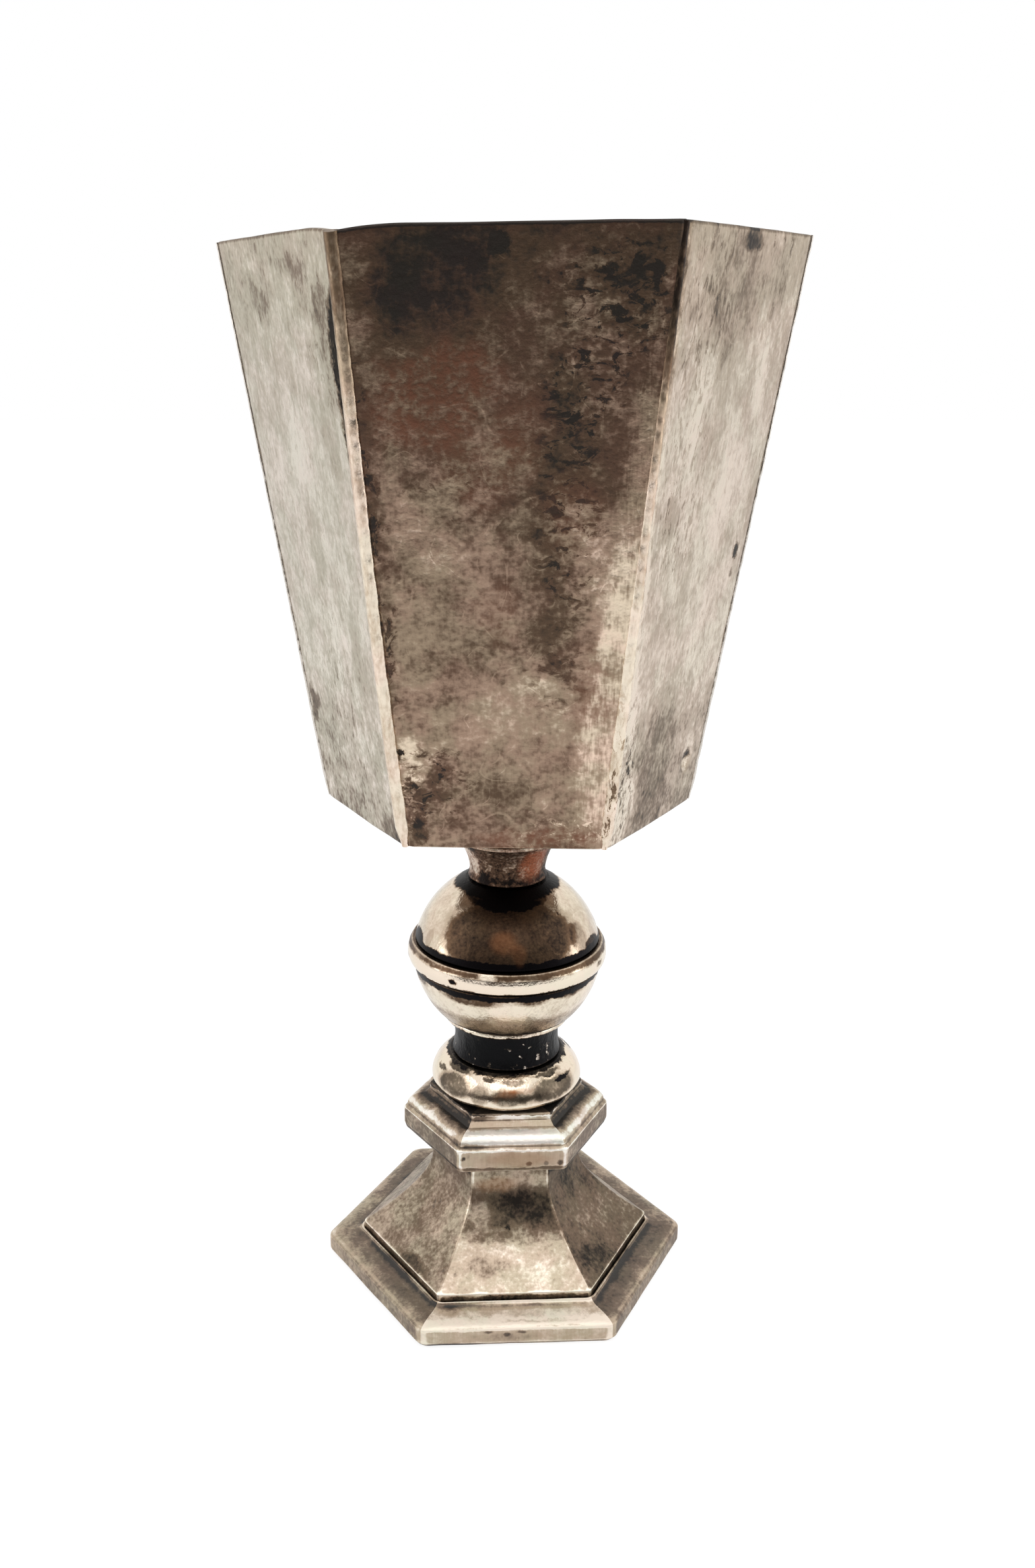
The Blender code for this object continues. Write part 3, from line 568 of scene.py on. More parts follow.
def bowl_front_plate():
    metal = bowl_metal("bowl_front_plate")
    height = metal.height
    corner = metal.group(SIX_SIDES, Vector=metal.place, Turn=0.0)["Corner"]
    ragged = metal.ragged(0.006, 0.0042)
    torn, x, wavy_edge = wavy_corner(metal, corner)
    level = metal.levels((89.9, 0.50), (96, 0.52), (104, 0.47), (118, 0.44), (130, 0.47), (144, 0.54),
                         (157, 0.58), (166, 0.64), (173, 0.74), (180, 0.74))
    worn_width = metal.levels((89.9, 0.0048), (103, 0.0066), (116, 0.0060), (132, 0.0044), (150, 0.0042),
                              (162, 0.0036), (175, 0.0022))
    right_half = x.fade(0.0, 0.006)
    worn = (wavy_edge - worn_width).fade(-0.0016, 0.0012, 1.0, 0.0) * right_half
    worn *= height.fade(0.092, 0.097, 0.4, 1.0) * height.fade(0.135, 0.172, 1.0, 0.45)
    dark = metal.stains(ragged, [
        (-10.4, -38.8, 172.8, 7.5, 6.5, 0.24), (-6.8, -39.6, 178.5, 5, 3, 0.14),
        (16.4, -38.7, 173, 4, 4, 0.20), (6.4, -35.5, 149, 3.4, 17, 0.13), (-9, -31.5, 121, 6, 5, 0.06),
        (6.8, -32.4, 126, 2.8, 9, 0.12), (2.4, -28.4, 99.9, 3, 3, 0.06), (-10.7, -28.7, 101.9, 4, 3.5, 0.12),
        (0, -27.1, 90.6, 17, 0.8, 0.10), (-13.5, -27.5, 94, 1.2, 3.5, 0.35),
        (5.8, -39.2, 174.4, 3, 0.45, 0.16), (9.7, -38.9, 172.3, 2.6, 0.5, 0.14)])
    flecked = metal.stains(ragged, [
        (14.5, -38.5, 171, 7, 7.5, 1.0), (11, -37, 161, 5, 6, 0.6), (8, -36, 152, 4.5, 9, 0.7),
        (9, -33.5, 138, 4.5, 9, 0.7), (7, -31, 119, 4.5, 8, 0.3), (-11.5, -28.5, 101, 5, 6, 0.8),
        (-8, -35, 146, 6, 5, 0.3)], 0.6)
    pale = metal.stains(ragged, [
        (14.5, -38.5, 171, 7, 7.5, 0.13), (-20.8, -38.7, 170, 3.2, 10, 0.14), (6, -38.9, 172, 6, 7, 0.10),
        (-15.5, -35.5, 146, 3.5, 12, 0.10), (-8.5, -34.6, 140.5, 6, 7, 0.12), (4, -29, 100, 4.5, 3.5, 0.08),
        (3, -30.8, 113, 8, 6, 0.14), (-14.6, -29.6, 105, 2.4, 4.2, 0.28), (10, -34, 140, 4, 12, 0.05),
        (14.5, -33, 134, 2.5, 12, 0.14)])
    copper = metal.stains(ragged, [
        (-11.5, -36.7, 157.7, 7, 5.5, 1.0), (-6.1, -37.3, 162, 5, 4, 0.9), (6, -27.3, 92.5, 10, 1.8, 0.8),
        (-4, -35.5, 149, 6, 5, 0.5), (2, -36.5, 155, 4, 5, 0.4), (9, -34.5, 143, 4, 6, 0.30),
        (12.5, -31, 117, 2.5, 7, 0.4), (-1, -33, 128, 3, 5, 0.3)])
    spots = metal.stains(torn, [
        (-1.2, -39.6, 178, 1.6, 1.5, 0.45), (-4.8, -39.3, 176.4, 1.3, 0.6, 0.30),
        (16.6, -39.2, 175.4, 0.9, 1.5, 0.40), (19.2, -39, 173.6, 0.7, 1.5, 0.45),
        (18, -38.6, 169.8, 1.2, 0.7, 0.35), (13.6, -39.2, 175, 1.4, 0.5, 0.30),
        (-16.2, -29.3, 106, 0.6, 0.6, 1.6), (-14.2, -38.9, 174.4, 0.8, 0.8, 0.30)], 0.35)
    # Beside the corners, where the solder beads meet the sheet, the plate is darkened by grime and painted
    # crevice shade.
    seam = corner.fade(0.0006, 0.0020, 0.16, 0.0) * right_half * height.fade(0.152, 0.166)
    crevice_width = metal.levels((106, 0.0), (114, 0.0011), (126, 0.0019), (139, 0.0023), (150, 0.0017),
                                 (163, 0.0010), (168, 0.0))
    crevice = (wavy_edge - crevice_width).fade(-0.0006, 0.0012, 0.46, 0.0) * x.fade(-0.006, 0.0, 1.0, 0.0)
    crevice *= height.fade(0.109, 0.114) * (metal.blots(0.0026, (1.0, 1.0, 0.8)) * 0.75 + 0.25)
    glints = metal.stains(ragged, [(8, -27.6, 93.6, 7.5, 2.6, 0.8), (-14.2, -28.4, 98, 1.8, 7, 0.9)], 0.3)
    glints *= metal.blots(0.0011, (0.8, 0.8, 1.0))
    # The thin pale line along the sheet's foot is a painted highlight.
    rim, lower_edge_highlight = height.fade(0.17930, 0.1797, 0.0, 0.5), height.fade(0.0901, 0.0903, -0.35, 0.0)
    tarnish = level + dark + spots - pale - worn * 0.27 + seam + crevice + rim + lower_edge_highlight
    tarnish = tarnish + flecked * metal.blots(0.0021) * 0.52 - glints * 0.32
    colour, roughness, relief = metal.worn(
        tarnish, (0.84, 0.68, 0.55), (0.37, 0.27, 0.20), (0.130, 0.082, 0.058), (0.045, 0.038, 0.035),
        Rough=0.52, Cloud=0.013, Mottle=0.0034, Fleck=0.0009, Upright=0.85,
        Uneven=metal.least(flecked, 1.0) * 0.30 + 0.48, Brushed=worn * 0.30 + 0.12,
        Scratched=0.10, Tinted=0.8)
    coppery = metal.least(copper, 0.85) * relief.fade(0.55, 0.95, 0.20, 1.0)
    return metal.finish(metal.blend(coppery, colour, (0.205, 0.092, 0.058)), roughness, relief, 0.00012)


def bowl_side_plate():
    metal = bowl_metal("bowl_side_plate")
    height, y = metal.height, metal.y
    corner, side = metal.group(SIX_SIDES, Vector=metal.place, Turn=0.0).values()
    ragged = metal.ragged(0.006, 0.004)
    torn, x, wavy_edge = wavy_corner(metal, corner)
    level = metal.side_levels(side, (0.44, 0.56, 0.40, 0.20, 0.50, 0.21))
    rim = metal.levels((89.9, 0.26), (98, 0.10), (115, 0.0), (150, -0.03), (165, 0.06), (177, 0.14),
                       (179.4, 0.14), (179.7, 0.45))
    dark = metal.stains(ragged, [
        (31.6, -22, 172, 9, 9, 0.24), (25, -32.6, 171, 3, 3, 0.14), (38.3, -8.4, 162, 2.4, 9, -0.16),
        (41, -8.6, 172, 2.8, 5, 0.16), (27.1, -26.7, 158, 2.4, 8, -0.16), (33, -14, 142, 3, 14, -0.12),
        (22, -31, 163, 2.2, 7, 0.16), (22.4, -28.6, 141, 4, 3, 0.16), (27, -20, 101, 9, 12, 0.26),
        (37, -14, 157, 3, 4, 0.10), (-31.4, -24.6, 176.2, 5, 1.6, 0.20), (-26.2, -33, 164, 3.6, 11, 0.18),
        (-26, -29, 150, 3, 9, 0.12), (-38.8, -11.6, 176.6, 4, 1.4, -0.16), (-38.2, -13, 171, 3.4, 3.4, 0.24),
        (-29, -27, 173, 3, 3.4, 0.16), (-35, -18, 159, 2.8, 3.2, 0.18), (-33, -17, 149, 4, 10, -0.12),
        (-30, -16, 134, 2.6, 8, 0.16), (-28, -18, 122, 2.4, 8, -0.12), (-22.6, -23.4, 115, 2.2, 12, 0.14),
        (-31.4, -2, 108, 1.9, 5, 0.50), (-28, -7, 101, 4, 7, 0.08), (-18.6, -23.6, 92, 3.6, 2.6, 0.30),
        (10, 37, 165, 12, 10, 0.25), (-8, 30, 112, 9, 14, 0.25), (-34, 18, 150, 7, 14, 0.2),
        (33, 16, 140, 8, 12, 0.2)])
    spots = metal.stains(torn, [
        (34.2, -19.9, 179.2, 3.2, 1.5, 0.42), (38.6, -13.2, 179.2, 0.5, 2, 0.30),
        (40.2, -10.4, 178.9, 0.4, 2.6, 0.26), (42, -7.2, 178.4, 0.6, 2.2, 0.30),
        (36, -3.9, 133.2, 0.9, 1.2, 0.70), (35.6, -4, 129.8, 0.6, 0.7, 0.40),
        (29.2, -5.6, 99.6, 1.3, 1.2, 0.60), (29.6, -5, 98, 0.8, 1.2, -0.30),
        (-34.6, -19.9, 162.4, 0.8, 2.2, 0.35), (-28.7, -29.9, 159.6, 0.9, 1.2, 0.35),
        (-27.6, -23.2, 142.6, 0.5, 1.4, 0.40), (-26.8, -22.4, 134, 0.5, 2.2, 0.35),
        (-20.9, -32, 140.8, 0.7, 1.7, 0.90), (-20.4, -31.8, 137.4, 0.5, 1.3, 0.80),
        (-33.4, -14.6, 146, 0.4, 5, 0.22)], 0.35)
    mottled = 0.30 + metal.stains(ragged, [
        (27, -31, 168, 8, 11, 0.6), (25, -27, 143, 7, 14, 0.7), (-27, -31, 166, 6, 10, 0.3),
        (-27, -15, 110, 6, 14, 0.5)], 0.6)
    streaks = metal.blots(0.0012, (1.0, 1.0, 0.35)) * 0.30 - metal.blots(0.0021, (1.0, 1.0, 0.30)) * 0.16
    worn_width = metal.levels((89.9, 0.0058), (100, 0.0072), (112, 0.0044), (126, 0.0020), (150, 0.0012),
                              (165, 0.0))
    front_right = x.fade(0.010, 0.014) * y.fade(-0.020, -0.016, 1.0, 0.0)
    worn = (wavy_edge - worn_width).fade(-0.002, 0.0012, 1.0, 0.0) * front_right
    # Beside the corners near the front, where the solder beads meet the sheets, the plate is darkened by grime
    # and painted crevice shade.
    seam = corner.fade(0.0006, 0.0020, 0.28, 0.0) * front_right * height.fade(0.146, 0.158)
    crevice_width = metal.levels((146, 0.0), (150, 0.0034), (158, 0.0044), (166, 0.0050), (171, 0.0040),
                                 (174, 0.0016))
    crevice = (wavy_edge - crevice_width).fade(-0.0008, 0.0008, 1.0, 0.0)
    crevice *= metal.blots(0.0024, (1.0, 1.0, 0.6)) * 0.40 + 0.60
    crevice *= height.fade(0.146, 0.150) * height.fade(0.171, 0.174, 1.0, 0.0)
    crevice *= y.fade(-0.026, -0.024, 1.0, 0.0) * x.fade(-0.002, 0.0, 1.0, 0.0)
    low_blots = worn * height.fade(0.106, 0.124, 0.60, 0.0) * metal.blots(0.0014, (1.0, 1.0, 0.5))
    tarnish = level + rim + dark + spots + mottled * streaks + seam + crevice - worn * 0.26 + low_blots
    warm = metal.x.fade(-0.01, 0.01)
    uneven = metal.levels((89.9, 0.80), (106, 0.70), (120, 0.42), (155, 0.38), (168, 0.52)) + worn * 0.45
    colour, roughness, relief = metal.worn(
        tarnish, metal.blend(warm, (0.78, 0.71, 0.62), (0.80, 0.70, 0.59)),
        metal.blend(warm, (0.48, 0.428, 0.342), (0.465, 0.38, 0.298)), (0.205, 0.155, 0.112),
        (0.034, 0.029, 0.026), Smooth=0.26, Rough=0.50, Cloud=0.016, Mottle=0.0034, Fleck=0.0007, Upright=1.4,
        Uneven=uneven, Brushed=worn * 0.35 + 0.20, Tinted=0.4)
    return metal.finish(colour, crevice * 0.45 + roughness, relief, 0.00012)


def bowl_inside():
    metal = Metal("bowl_inside")
    plate = metal.worn(
        metal.height.fade(0.090, 0.150, 0.52, 0.28), (0.62, 0.55, 0.47), (0.42, 0.35, 0.29),
        (0.16, 0.11, 0.08), (0.03, 0.025, 0.022), Smooth=0.32, Cloud=0.030, Mottle=0.008, Fleck=0.0012)
    return metal.finish(*plate, 0.00008)


def make_bowl():
    tree = tapered_sheet_tree()
    front, sides, inside = bowl_front_plate(), bowl_side_plate(), bowl_inside()
    foot, rim = BOWL_FOOT + 0.00002, BOWL_RIM - 0.00002
    outline = eased([(0, foot), (0, rim), (SHEET, rim), (SHEET, foot)], 0.0004, 0.0007)
    panels = {}
    for number, place in enumerate(("front", "front_right", "back_right", "back", "back_left", "front_left")):
        sizes = {"Columns": 64, "Foot height": BOWL_FOOT, "Rim height": BOWL_RIM,
                 "Foot corner": BOWL_FOOT_CORNER, "Rim corner": BOWL_RIM_CORNER, "Sheet": SHEET,
                 "Seam gap": 0.00022, "Edge roll": 0.00035, "Roll width": 0.0010,
                 "Turn": number * SIXTH - math.pi / 2, "Ripple height": 0.00016, "Ripple size": 0.016,
                 "Seed": 3.0 + number, "Outside": front if place == "front" else sides, "Inside": inside}
        panels[place] = formed(f"bowl_sheet_{place}", outline, tree, sizes)
        lift_ends(panels[place])
        stands_for(panels[place], f"bowl_panel_{place}")
    dent(panels["front_right"], (0.0295, -0.0053, 0.0983), 0.0022, 0.0007)
    dent(panels["front"], (-0.0162, -0.0293, 0.1060), 0.0009, 0.0007)


make_bowl()


# Solder: a bead of silver solder along each corner of the bowl, run in by hand and filed down unevenly.
# It is thicker near the foot of the bowl. On the front left corner it stands proud all the way up, and leans
# to the left of the corner.


def solder_bead_tree():
    floats = ("Foot thickness", "Rim thickness", "Uneven", "Wander", "Lump size", "Seed")
    others = {"Foot": "Vector", "Rim": "Vector", "Rings": "Int", "Solder": "Material"}
    tree, bench, given = geometry_tree("solder_bead", floats, others)
    line = bench.node("GeometryNodeCurvePrimitiveLine", {"Start": given["Foot"], "End": given["Rim"]})
    line = bench.node("GeometryNodeResampleCurve", {"Curve": line, "Count": given["Rings"]})
    where = bench.node("GeometryNodeInputPosition")
    size, seed = given["Lump size"], given["Seed"]
    noise, colour = [bench.noise(where, size, 4.0, 0.65, seed, output) for output in (0, "Color")]
    drifted = bench.maths("MULTIPLY_ADD", colour, given["Wander"], where) - given["Wander"] * 0.5
    line = bench.node("GeometryNodeSetPosition", {"Geometry": line, "Position": drifted})
    along = bench.node("GeometryNodeSplineParameter", output="Factor")
    ends = {"Value": along, "To Min": given["Foot thickness"], "To Max": given["Rim thickness"]}
    thick = bench.node("ShaderNodeMapRange", ends)
    lumps = ((noise - 0.5) * given["Uneven"] + 1.0) * along.fade(0.0, 0.045, 0.5, 1.0)
    ring = bench.node("GeometryNodeCurvePrimitiveCircle", {"Resolution": 14, "Radius": 1.0})
    shape = {"Curve": line, "Profile Curve": ring, "Scale": thick * lumps, "Fill Caps": True}
    bead = rippled(bench, bench.node("GeometryNodeCurveToMesh", shape), 0.00008, 0.0011, seed)
    end_tree(bench, bead, given["Solder"])
    return tree


def silver_solder():
    metal = bowl_metal("silver_solder")
    level = metal.levels((89.9, 0.14), (140, 0.10), (157, 0.22), (168, 0.48), (180, 0.72))
    right = metal.x.fade(0.004, 0.008)
    right_top = right * metal.height.fade(0.136, 0.164, 0.0, 0.30)
    flecks = metal.blots(0.0012, (1.0, 1.0, 0.4)) * right * metal.height.fade(0.100, 0.124, 0.55, 0.0)
    # The two beads at the bowl's left and right corners are made paler and greyer: a painted reflection of the
    # white backdrop.
    outermost = abs(metal.x).fade(0.026, 0.029)
    tarnish = level + right_top + flecks + metal.y.fade(-0.015, 0.0, 0.0, 0.14)
    tarnish *= outermost.fade(0.0, 1.0, 1.0, 0.30)
    colour, roughness, relief = metal.worn(
        tarnish, (0.88, 0.76, 0.64), (0.56, 0.43, 0.32), (0.20, 0.135, 0.09), (0.03, 0.022, 0.018),
        Smooth=0.24, Rough=0.5, Cloud=0.015, Upright=2.0, Uneven=0.45, Brushed=0.2)
    return metal.finish(metal.blend(outermost * 0.8, colour, (0.66, 0.63, 0.59)), roughness, relief, 0.0001)


def lean_over(piece, towards):
    """Moves a bead sideways, off its corner, as the real one was run: most of all in its lower half."""
    for vert in piece.data.vertices:
        share = min(max((vert.co.z - BOWL_FOOT) / (BOWL_RIM - BOWL_FOOT), 0.0), 1.0)
        vert.co += Vector(towards) * (0.00035 + 0.0028 * share * (1 - share) ** 1.5)


def run_solder():
    """Runs the six beads, each with its thickness at foot and rim, and how deep it sits in its corner."""
    tree, solder, proud = solder_bead_tree(), silver_solder(), 6
    beads = {1: (0.00120, 0.00060, 0.00078), 2: (0.00034, 0.00028, 0.00030), 3: (0.00060, 0.00050, 0.00030),
             4: (0.00066, 0.00042, 0.00030), 5: (0.00034, 0.00028, 0.00030),
             proud: (0.00116, 0.00106, 0.00060)}
    for number, (foot, rim, sink) in beads.items():
        bearing = (number - 2) * SIXTH
        outwards = Vector((math.cos(bearing), math.sin(bearing), 0))
        sizes = {"Foot": outwards * (BOWL_FOOT_CORNER - sink) + Vector((0, 0, BOWL_FOOT + 0.0001)),
                 "Rim": outwards * (BOWL_RIM_CORNER - sink) + Vector((0, 0, BOWL_RIM - 0.0001)), "Rings": 260,
                 "Foot thickness": foot, "Rim thickness": rim, "Uneven": 0.25 if number == proud else 0.55,
                 "Wander": 0.0003, "Lump size": 0.004, "Seed": 20.0 + number, "Solder": solder}
        bead = formed(f"solder_{number}", [(0, 0), (0, 0.001)], tree, sizes)
        if number == proud:
            lean_over(bead, (-0.87, 0.50, 0.0))
        lift_ends(bead)
        stands_for(bead, f"corner_solder_{number}")


run_solder()


# Bowl floor: a plate soldered inside the foot of the bowl, silvered like the bowl's inside and gone dull.
# The round boss that is brazed under it is the same metal as the neck, and is made with it.


def dull_plate():
    metal = Metal("dull_plate")
    # Its edges are made paler by wear and a painted highlight.
    plate = metal.worn(
        metal.ridge.fade(0.01, 0.05, 0.0, -0.3) + 0.55, (0.62, 0.55, 0.47), (0.40, 0.33, 0.27),
        (0.14, 0.09, 0.065), (0.03, 0.025, 0.022), Smooth=0.32, Cloud=0.020, Mottle=0.005, Fleck=0.0010)
    return metal.finish(*plate, 0.00008)


def dress(node, material):
    """Gives a carried-over solid its finish."""
    for mat_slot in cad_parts[node].material_slots:
        mat_slot.material = material


dress("bowl_floor", dull_plate())


# Neck: a hollow curve turned in copper alloy, with little plate left on it. The stem's rod passes up through
# it and screws into the boss. Where the neck meets the knop it is darkened by black grime and a painted
# contact shadow.

BORE = 0.0028
NECK_FOOT, NECK_TOP = 0.07582, 0.08402
BOSS_FOOT, BOSS_TOP = 0.08432, 0.08992
SPIGOT, SPIGOT_LENGTH, SOCKET, SOCKET_DEPTH = 0.0045, 0.0012, 0.0048, 0.0015


def turned_form_tree():
    tree, bench, given, grid, share, radius, height = swept_tree("turned_form", ("Wobble",), ("Metal",))
    angle = share * (2 * math.pi)
    across, along = bench.maths("COSINE", angle), bench.maths("SINE", angle)
    noise = bench.noise(bench.joined(across, along, height * 60.0), 1 / 1.3, 1.0, seed=given["Seed"])
    reach = (noise - 0.5) * given["Wobble"] + radius
    place = bench.joined(across * reach, along * reach, height)
    end_tree(bench, swept(bench, given, grid, place), given["Metal"])
    return tree


TURNED_FORM = turned_form_tree()


def hollow_curve(start, end, power, count):
    """Points of a hollow quarter curve that leaves start upright and reaches end level."""
    points = []
    for n in range(count + 1):
        along = math.sin(math.pi / 2 * n / count) ** (2 / power)
        out = 1 - (1 - along ** power) ** (1 / power)
        points.append((start[0] + (end[0] - start[0]) * out, start[1] + (end[1] - start[1]) * along))
    return points


def socket(top):
    """The outline of the hole in a stem piece's top, from the bore out."""
    return [(BORE, top - SOCKET_DEPTH), (SOCKET, top - SOCKET_DEPTH), (SOCKET, top)]


def spigot(foot, end):
    """The outline of the stub under a stem piece, down to its end and in to the bore."""
    return [(SPIGOT, foot), (SPIGOT, end), (BORE, end)]


def seated(outer, foot, top):
    """A stem piece's whole outline: its socket, its outer side from top to foot, and its spigot."""
    return [*socket(top), *outer, *spigot(foot, foot - SPIGOT_LENGTH)]


def turned(name, outline, metal, seed, radius=0.00025, step=0.0006, columns=181, ripple=0.00005,
           ripple_size=0.004):
    sizes = {"Columns": columns, "Wobble": 0.0001, "Ripple height": ripple, "Ripple size": ripple_size,
             "Seed": seed, "Metal": metal}
    return formed(name, eased(outline, radius, step), TURNED_FORM, sizes)


def neck_copper():
    metal = Metal("neck_copper")
    ragged = metal.ragged(0.003, 0.0015)
    # The neck is darkened towards its foot by grime and a painted contact shadow, and its edges are made paler
    # by wear and a painted highlight.
    foot = metal.height.fade(NECK_FOOT + 0.0002, NECK_FOOT + 0.0022, 0.45, 0.0)
    lip = metal.ridge.fade(0.01, 0.05, 0.0, -0.3)
    pale = metal.stains(ragged, [(-6.5, -2.5, 79.5, 2.8, 5, -0.5), (6.5, 4, 79, 3.5, 3, -0.4),
                                 (-2, 7, 78.5, 3, 3, -0.35)])
    copper = metal.stains(ragged, [(4.4, -5.5, 80.3, 2.6, 3.2, 1.0), (-5, 6, 80.5, 3, 3, 0.8),
                                   (0, 0, 87, 14, 3, 0.5)])
    colour, roughness, relief = metal.worn(
        foot + pale + lip + 0.70, (0.70, 0.60, 0.50), (0.42, 0.30, 0.23), (0.13, 0.075, 0.05),
        (0.02, 0.015, 0.014), Smooth=0.34, Mottle=0.0022, Fleck=0.0005, Uneven=1.1, Brushed=0.0)
    coppery = metal.least(copper, 0.85) * relief.fade(0.5, 0.9, 0.5, 1.0)
    return metal.finish(metal.blend(coppery, colour, (0.36, 0.12, 0.06)), roughness, relief, 0.00025)


def make_neck():
    metal = neck_copper()
    flare, boss_radius, hole_top = 0.0096, 0.0104, BOSS_FOOT + 0.0042
    curve = hollow_curve((0.0066, NECK_FOOT + 0.0014), (flare, NECK_TOP - 0.0007), 1.6, 20)
    outer = [(flare, NECK_TOP), *reversed(curve), (0.0069, NECK_FOOT)]
    neck = turned("neck", seated(outer, NECK_FOOT, NECK_TOP), metal, 41.0, ripple=0.00010, ripple_size=0.0018)
    stands_for(neck, "neck_collar")
    block = [(0, BOSS_TOP), (boss_radius, BOSS_TOP), (boss_radius, BOSS_FOOT),
             *spigot(BOSS_FOOT, BOSS_FOOT - SPIGOT_LENGTH), (BORE, hole_top), (0, hole_top)]
    boss = turned("boss", block, metal, 42.0, ripple=0.00008, ripple_size=0.002)
    stands_for(boss, "bowl_boss")


make_neck()


# Knop: two thin shells raised from sheet and plated, joined inside a moulded girdle, on a distance tube.
# The shells are still polished on their shoulders. Black grime and painted shade fill the top, under the neck,
# and the groove and the edges of the girdle. The brown patch over the front of the upper shell is partly
# tarnish and partly a painted reflection.

GIRDLE_MIDDLE, KNOP_TOP, KNOP_FOOT = 0.06229, 0.07552, 0.05053
KNOP_RADIUS, UPPER_SINK, SHELL, END_WALL = 0.0168, 0.0019, 0.0020, 0.0026
GIRDLE_RADIUS, GIRDLE_HEIGHT, GIRDLE_WALL = 0.0176, 0.0038, 0.0016
RING_FOOT, RING_TOP, RING_RADIUS = 0.04903, 0.05023, 0.0112


def knop_plate(name, tarnish, marks, copper, grime_and_shade, seed=0.0, soft=0.45, brown=(0.11, 0.068, 0.042), **wear):
    """Polished plate with marks, copper patches, and rings of grime and painted shade: each (height, reach,
    strength).
    """
    metal = Metal(name)
    ragged = metal.ragged(0.0022, 0.0008)
    _, _, away = metal.axes(ragged)
    total = metal.stains(ragged, marks, soft)
    for height, reach, strength in grime_and_shade:
        total = abs(away - height).fade(reach * 0.5, reach, 1.0, 0.0) * strength + total
    # Grooves are darkened by grime and painted shade, and edges made paler by wear and a painted highlight.
    groove, edge = metal.ridge.fade(-0.045, -0.012, 0.9, 0.0), metal.ridge.fade(0.015, 0.06, 0.0, -0.25)
    wear = {"Smooth": 0.10, "Rough": 0.42, "Cloud": 0.012, "Mottle": 0.0024, "Fleck": 0.0005, "Uneven": 0.28,
            "Brushed": 0.0, "Tinted": 0.35, "Vector": metal.place + (seed, seed, 0.0), **wear}
    colour, roughness, relief = metal.worn(
        total + groove + edge + tarnish, (0.87, 0.77, 0.64), (0.54, 0.44, 0.34), brown,
        (0.008, 0.007, 0.008), **wear)
    colour = metal.blend(metal.least(metal.stains(ragged, copper), 0.9), colour, (0.30, 0.12, 0.05))
    return metal.finish(colour, roughness, relief, 0.00006)


def arc(centre, across, up, first, last, count):
    """Points of an ellipse about the centre, from the first angle to the last."""
    angles = [first + (last - first) * n / count for n in range(count + 1)]
    return [(centre[0] + across * math.cos(angle), centre[1] + up * math.sin(angle)) for angle in angles]


def cap(radius, centre, high, low, count=30):
    """Points of a circle about (0, centre), from the height high down to the height low."""
    first, last = math.asin((high - centre) / radius), math.asin((low - centre) / radius)
    return arc((0, centre), radius, radius, first, last, count)


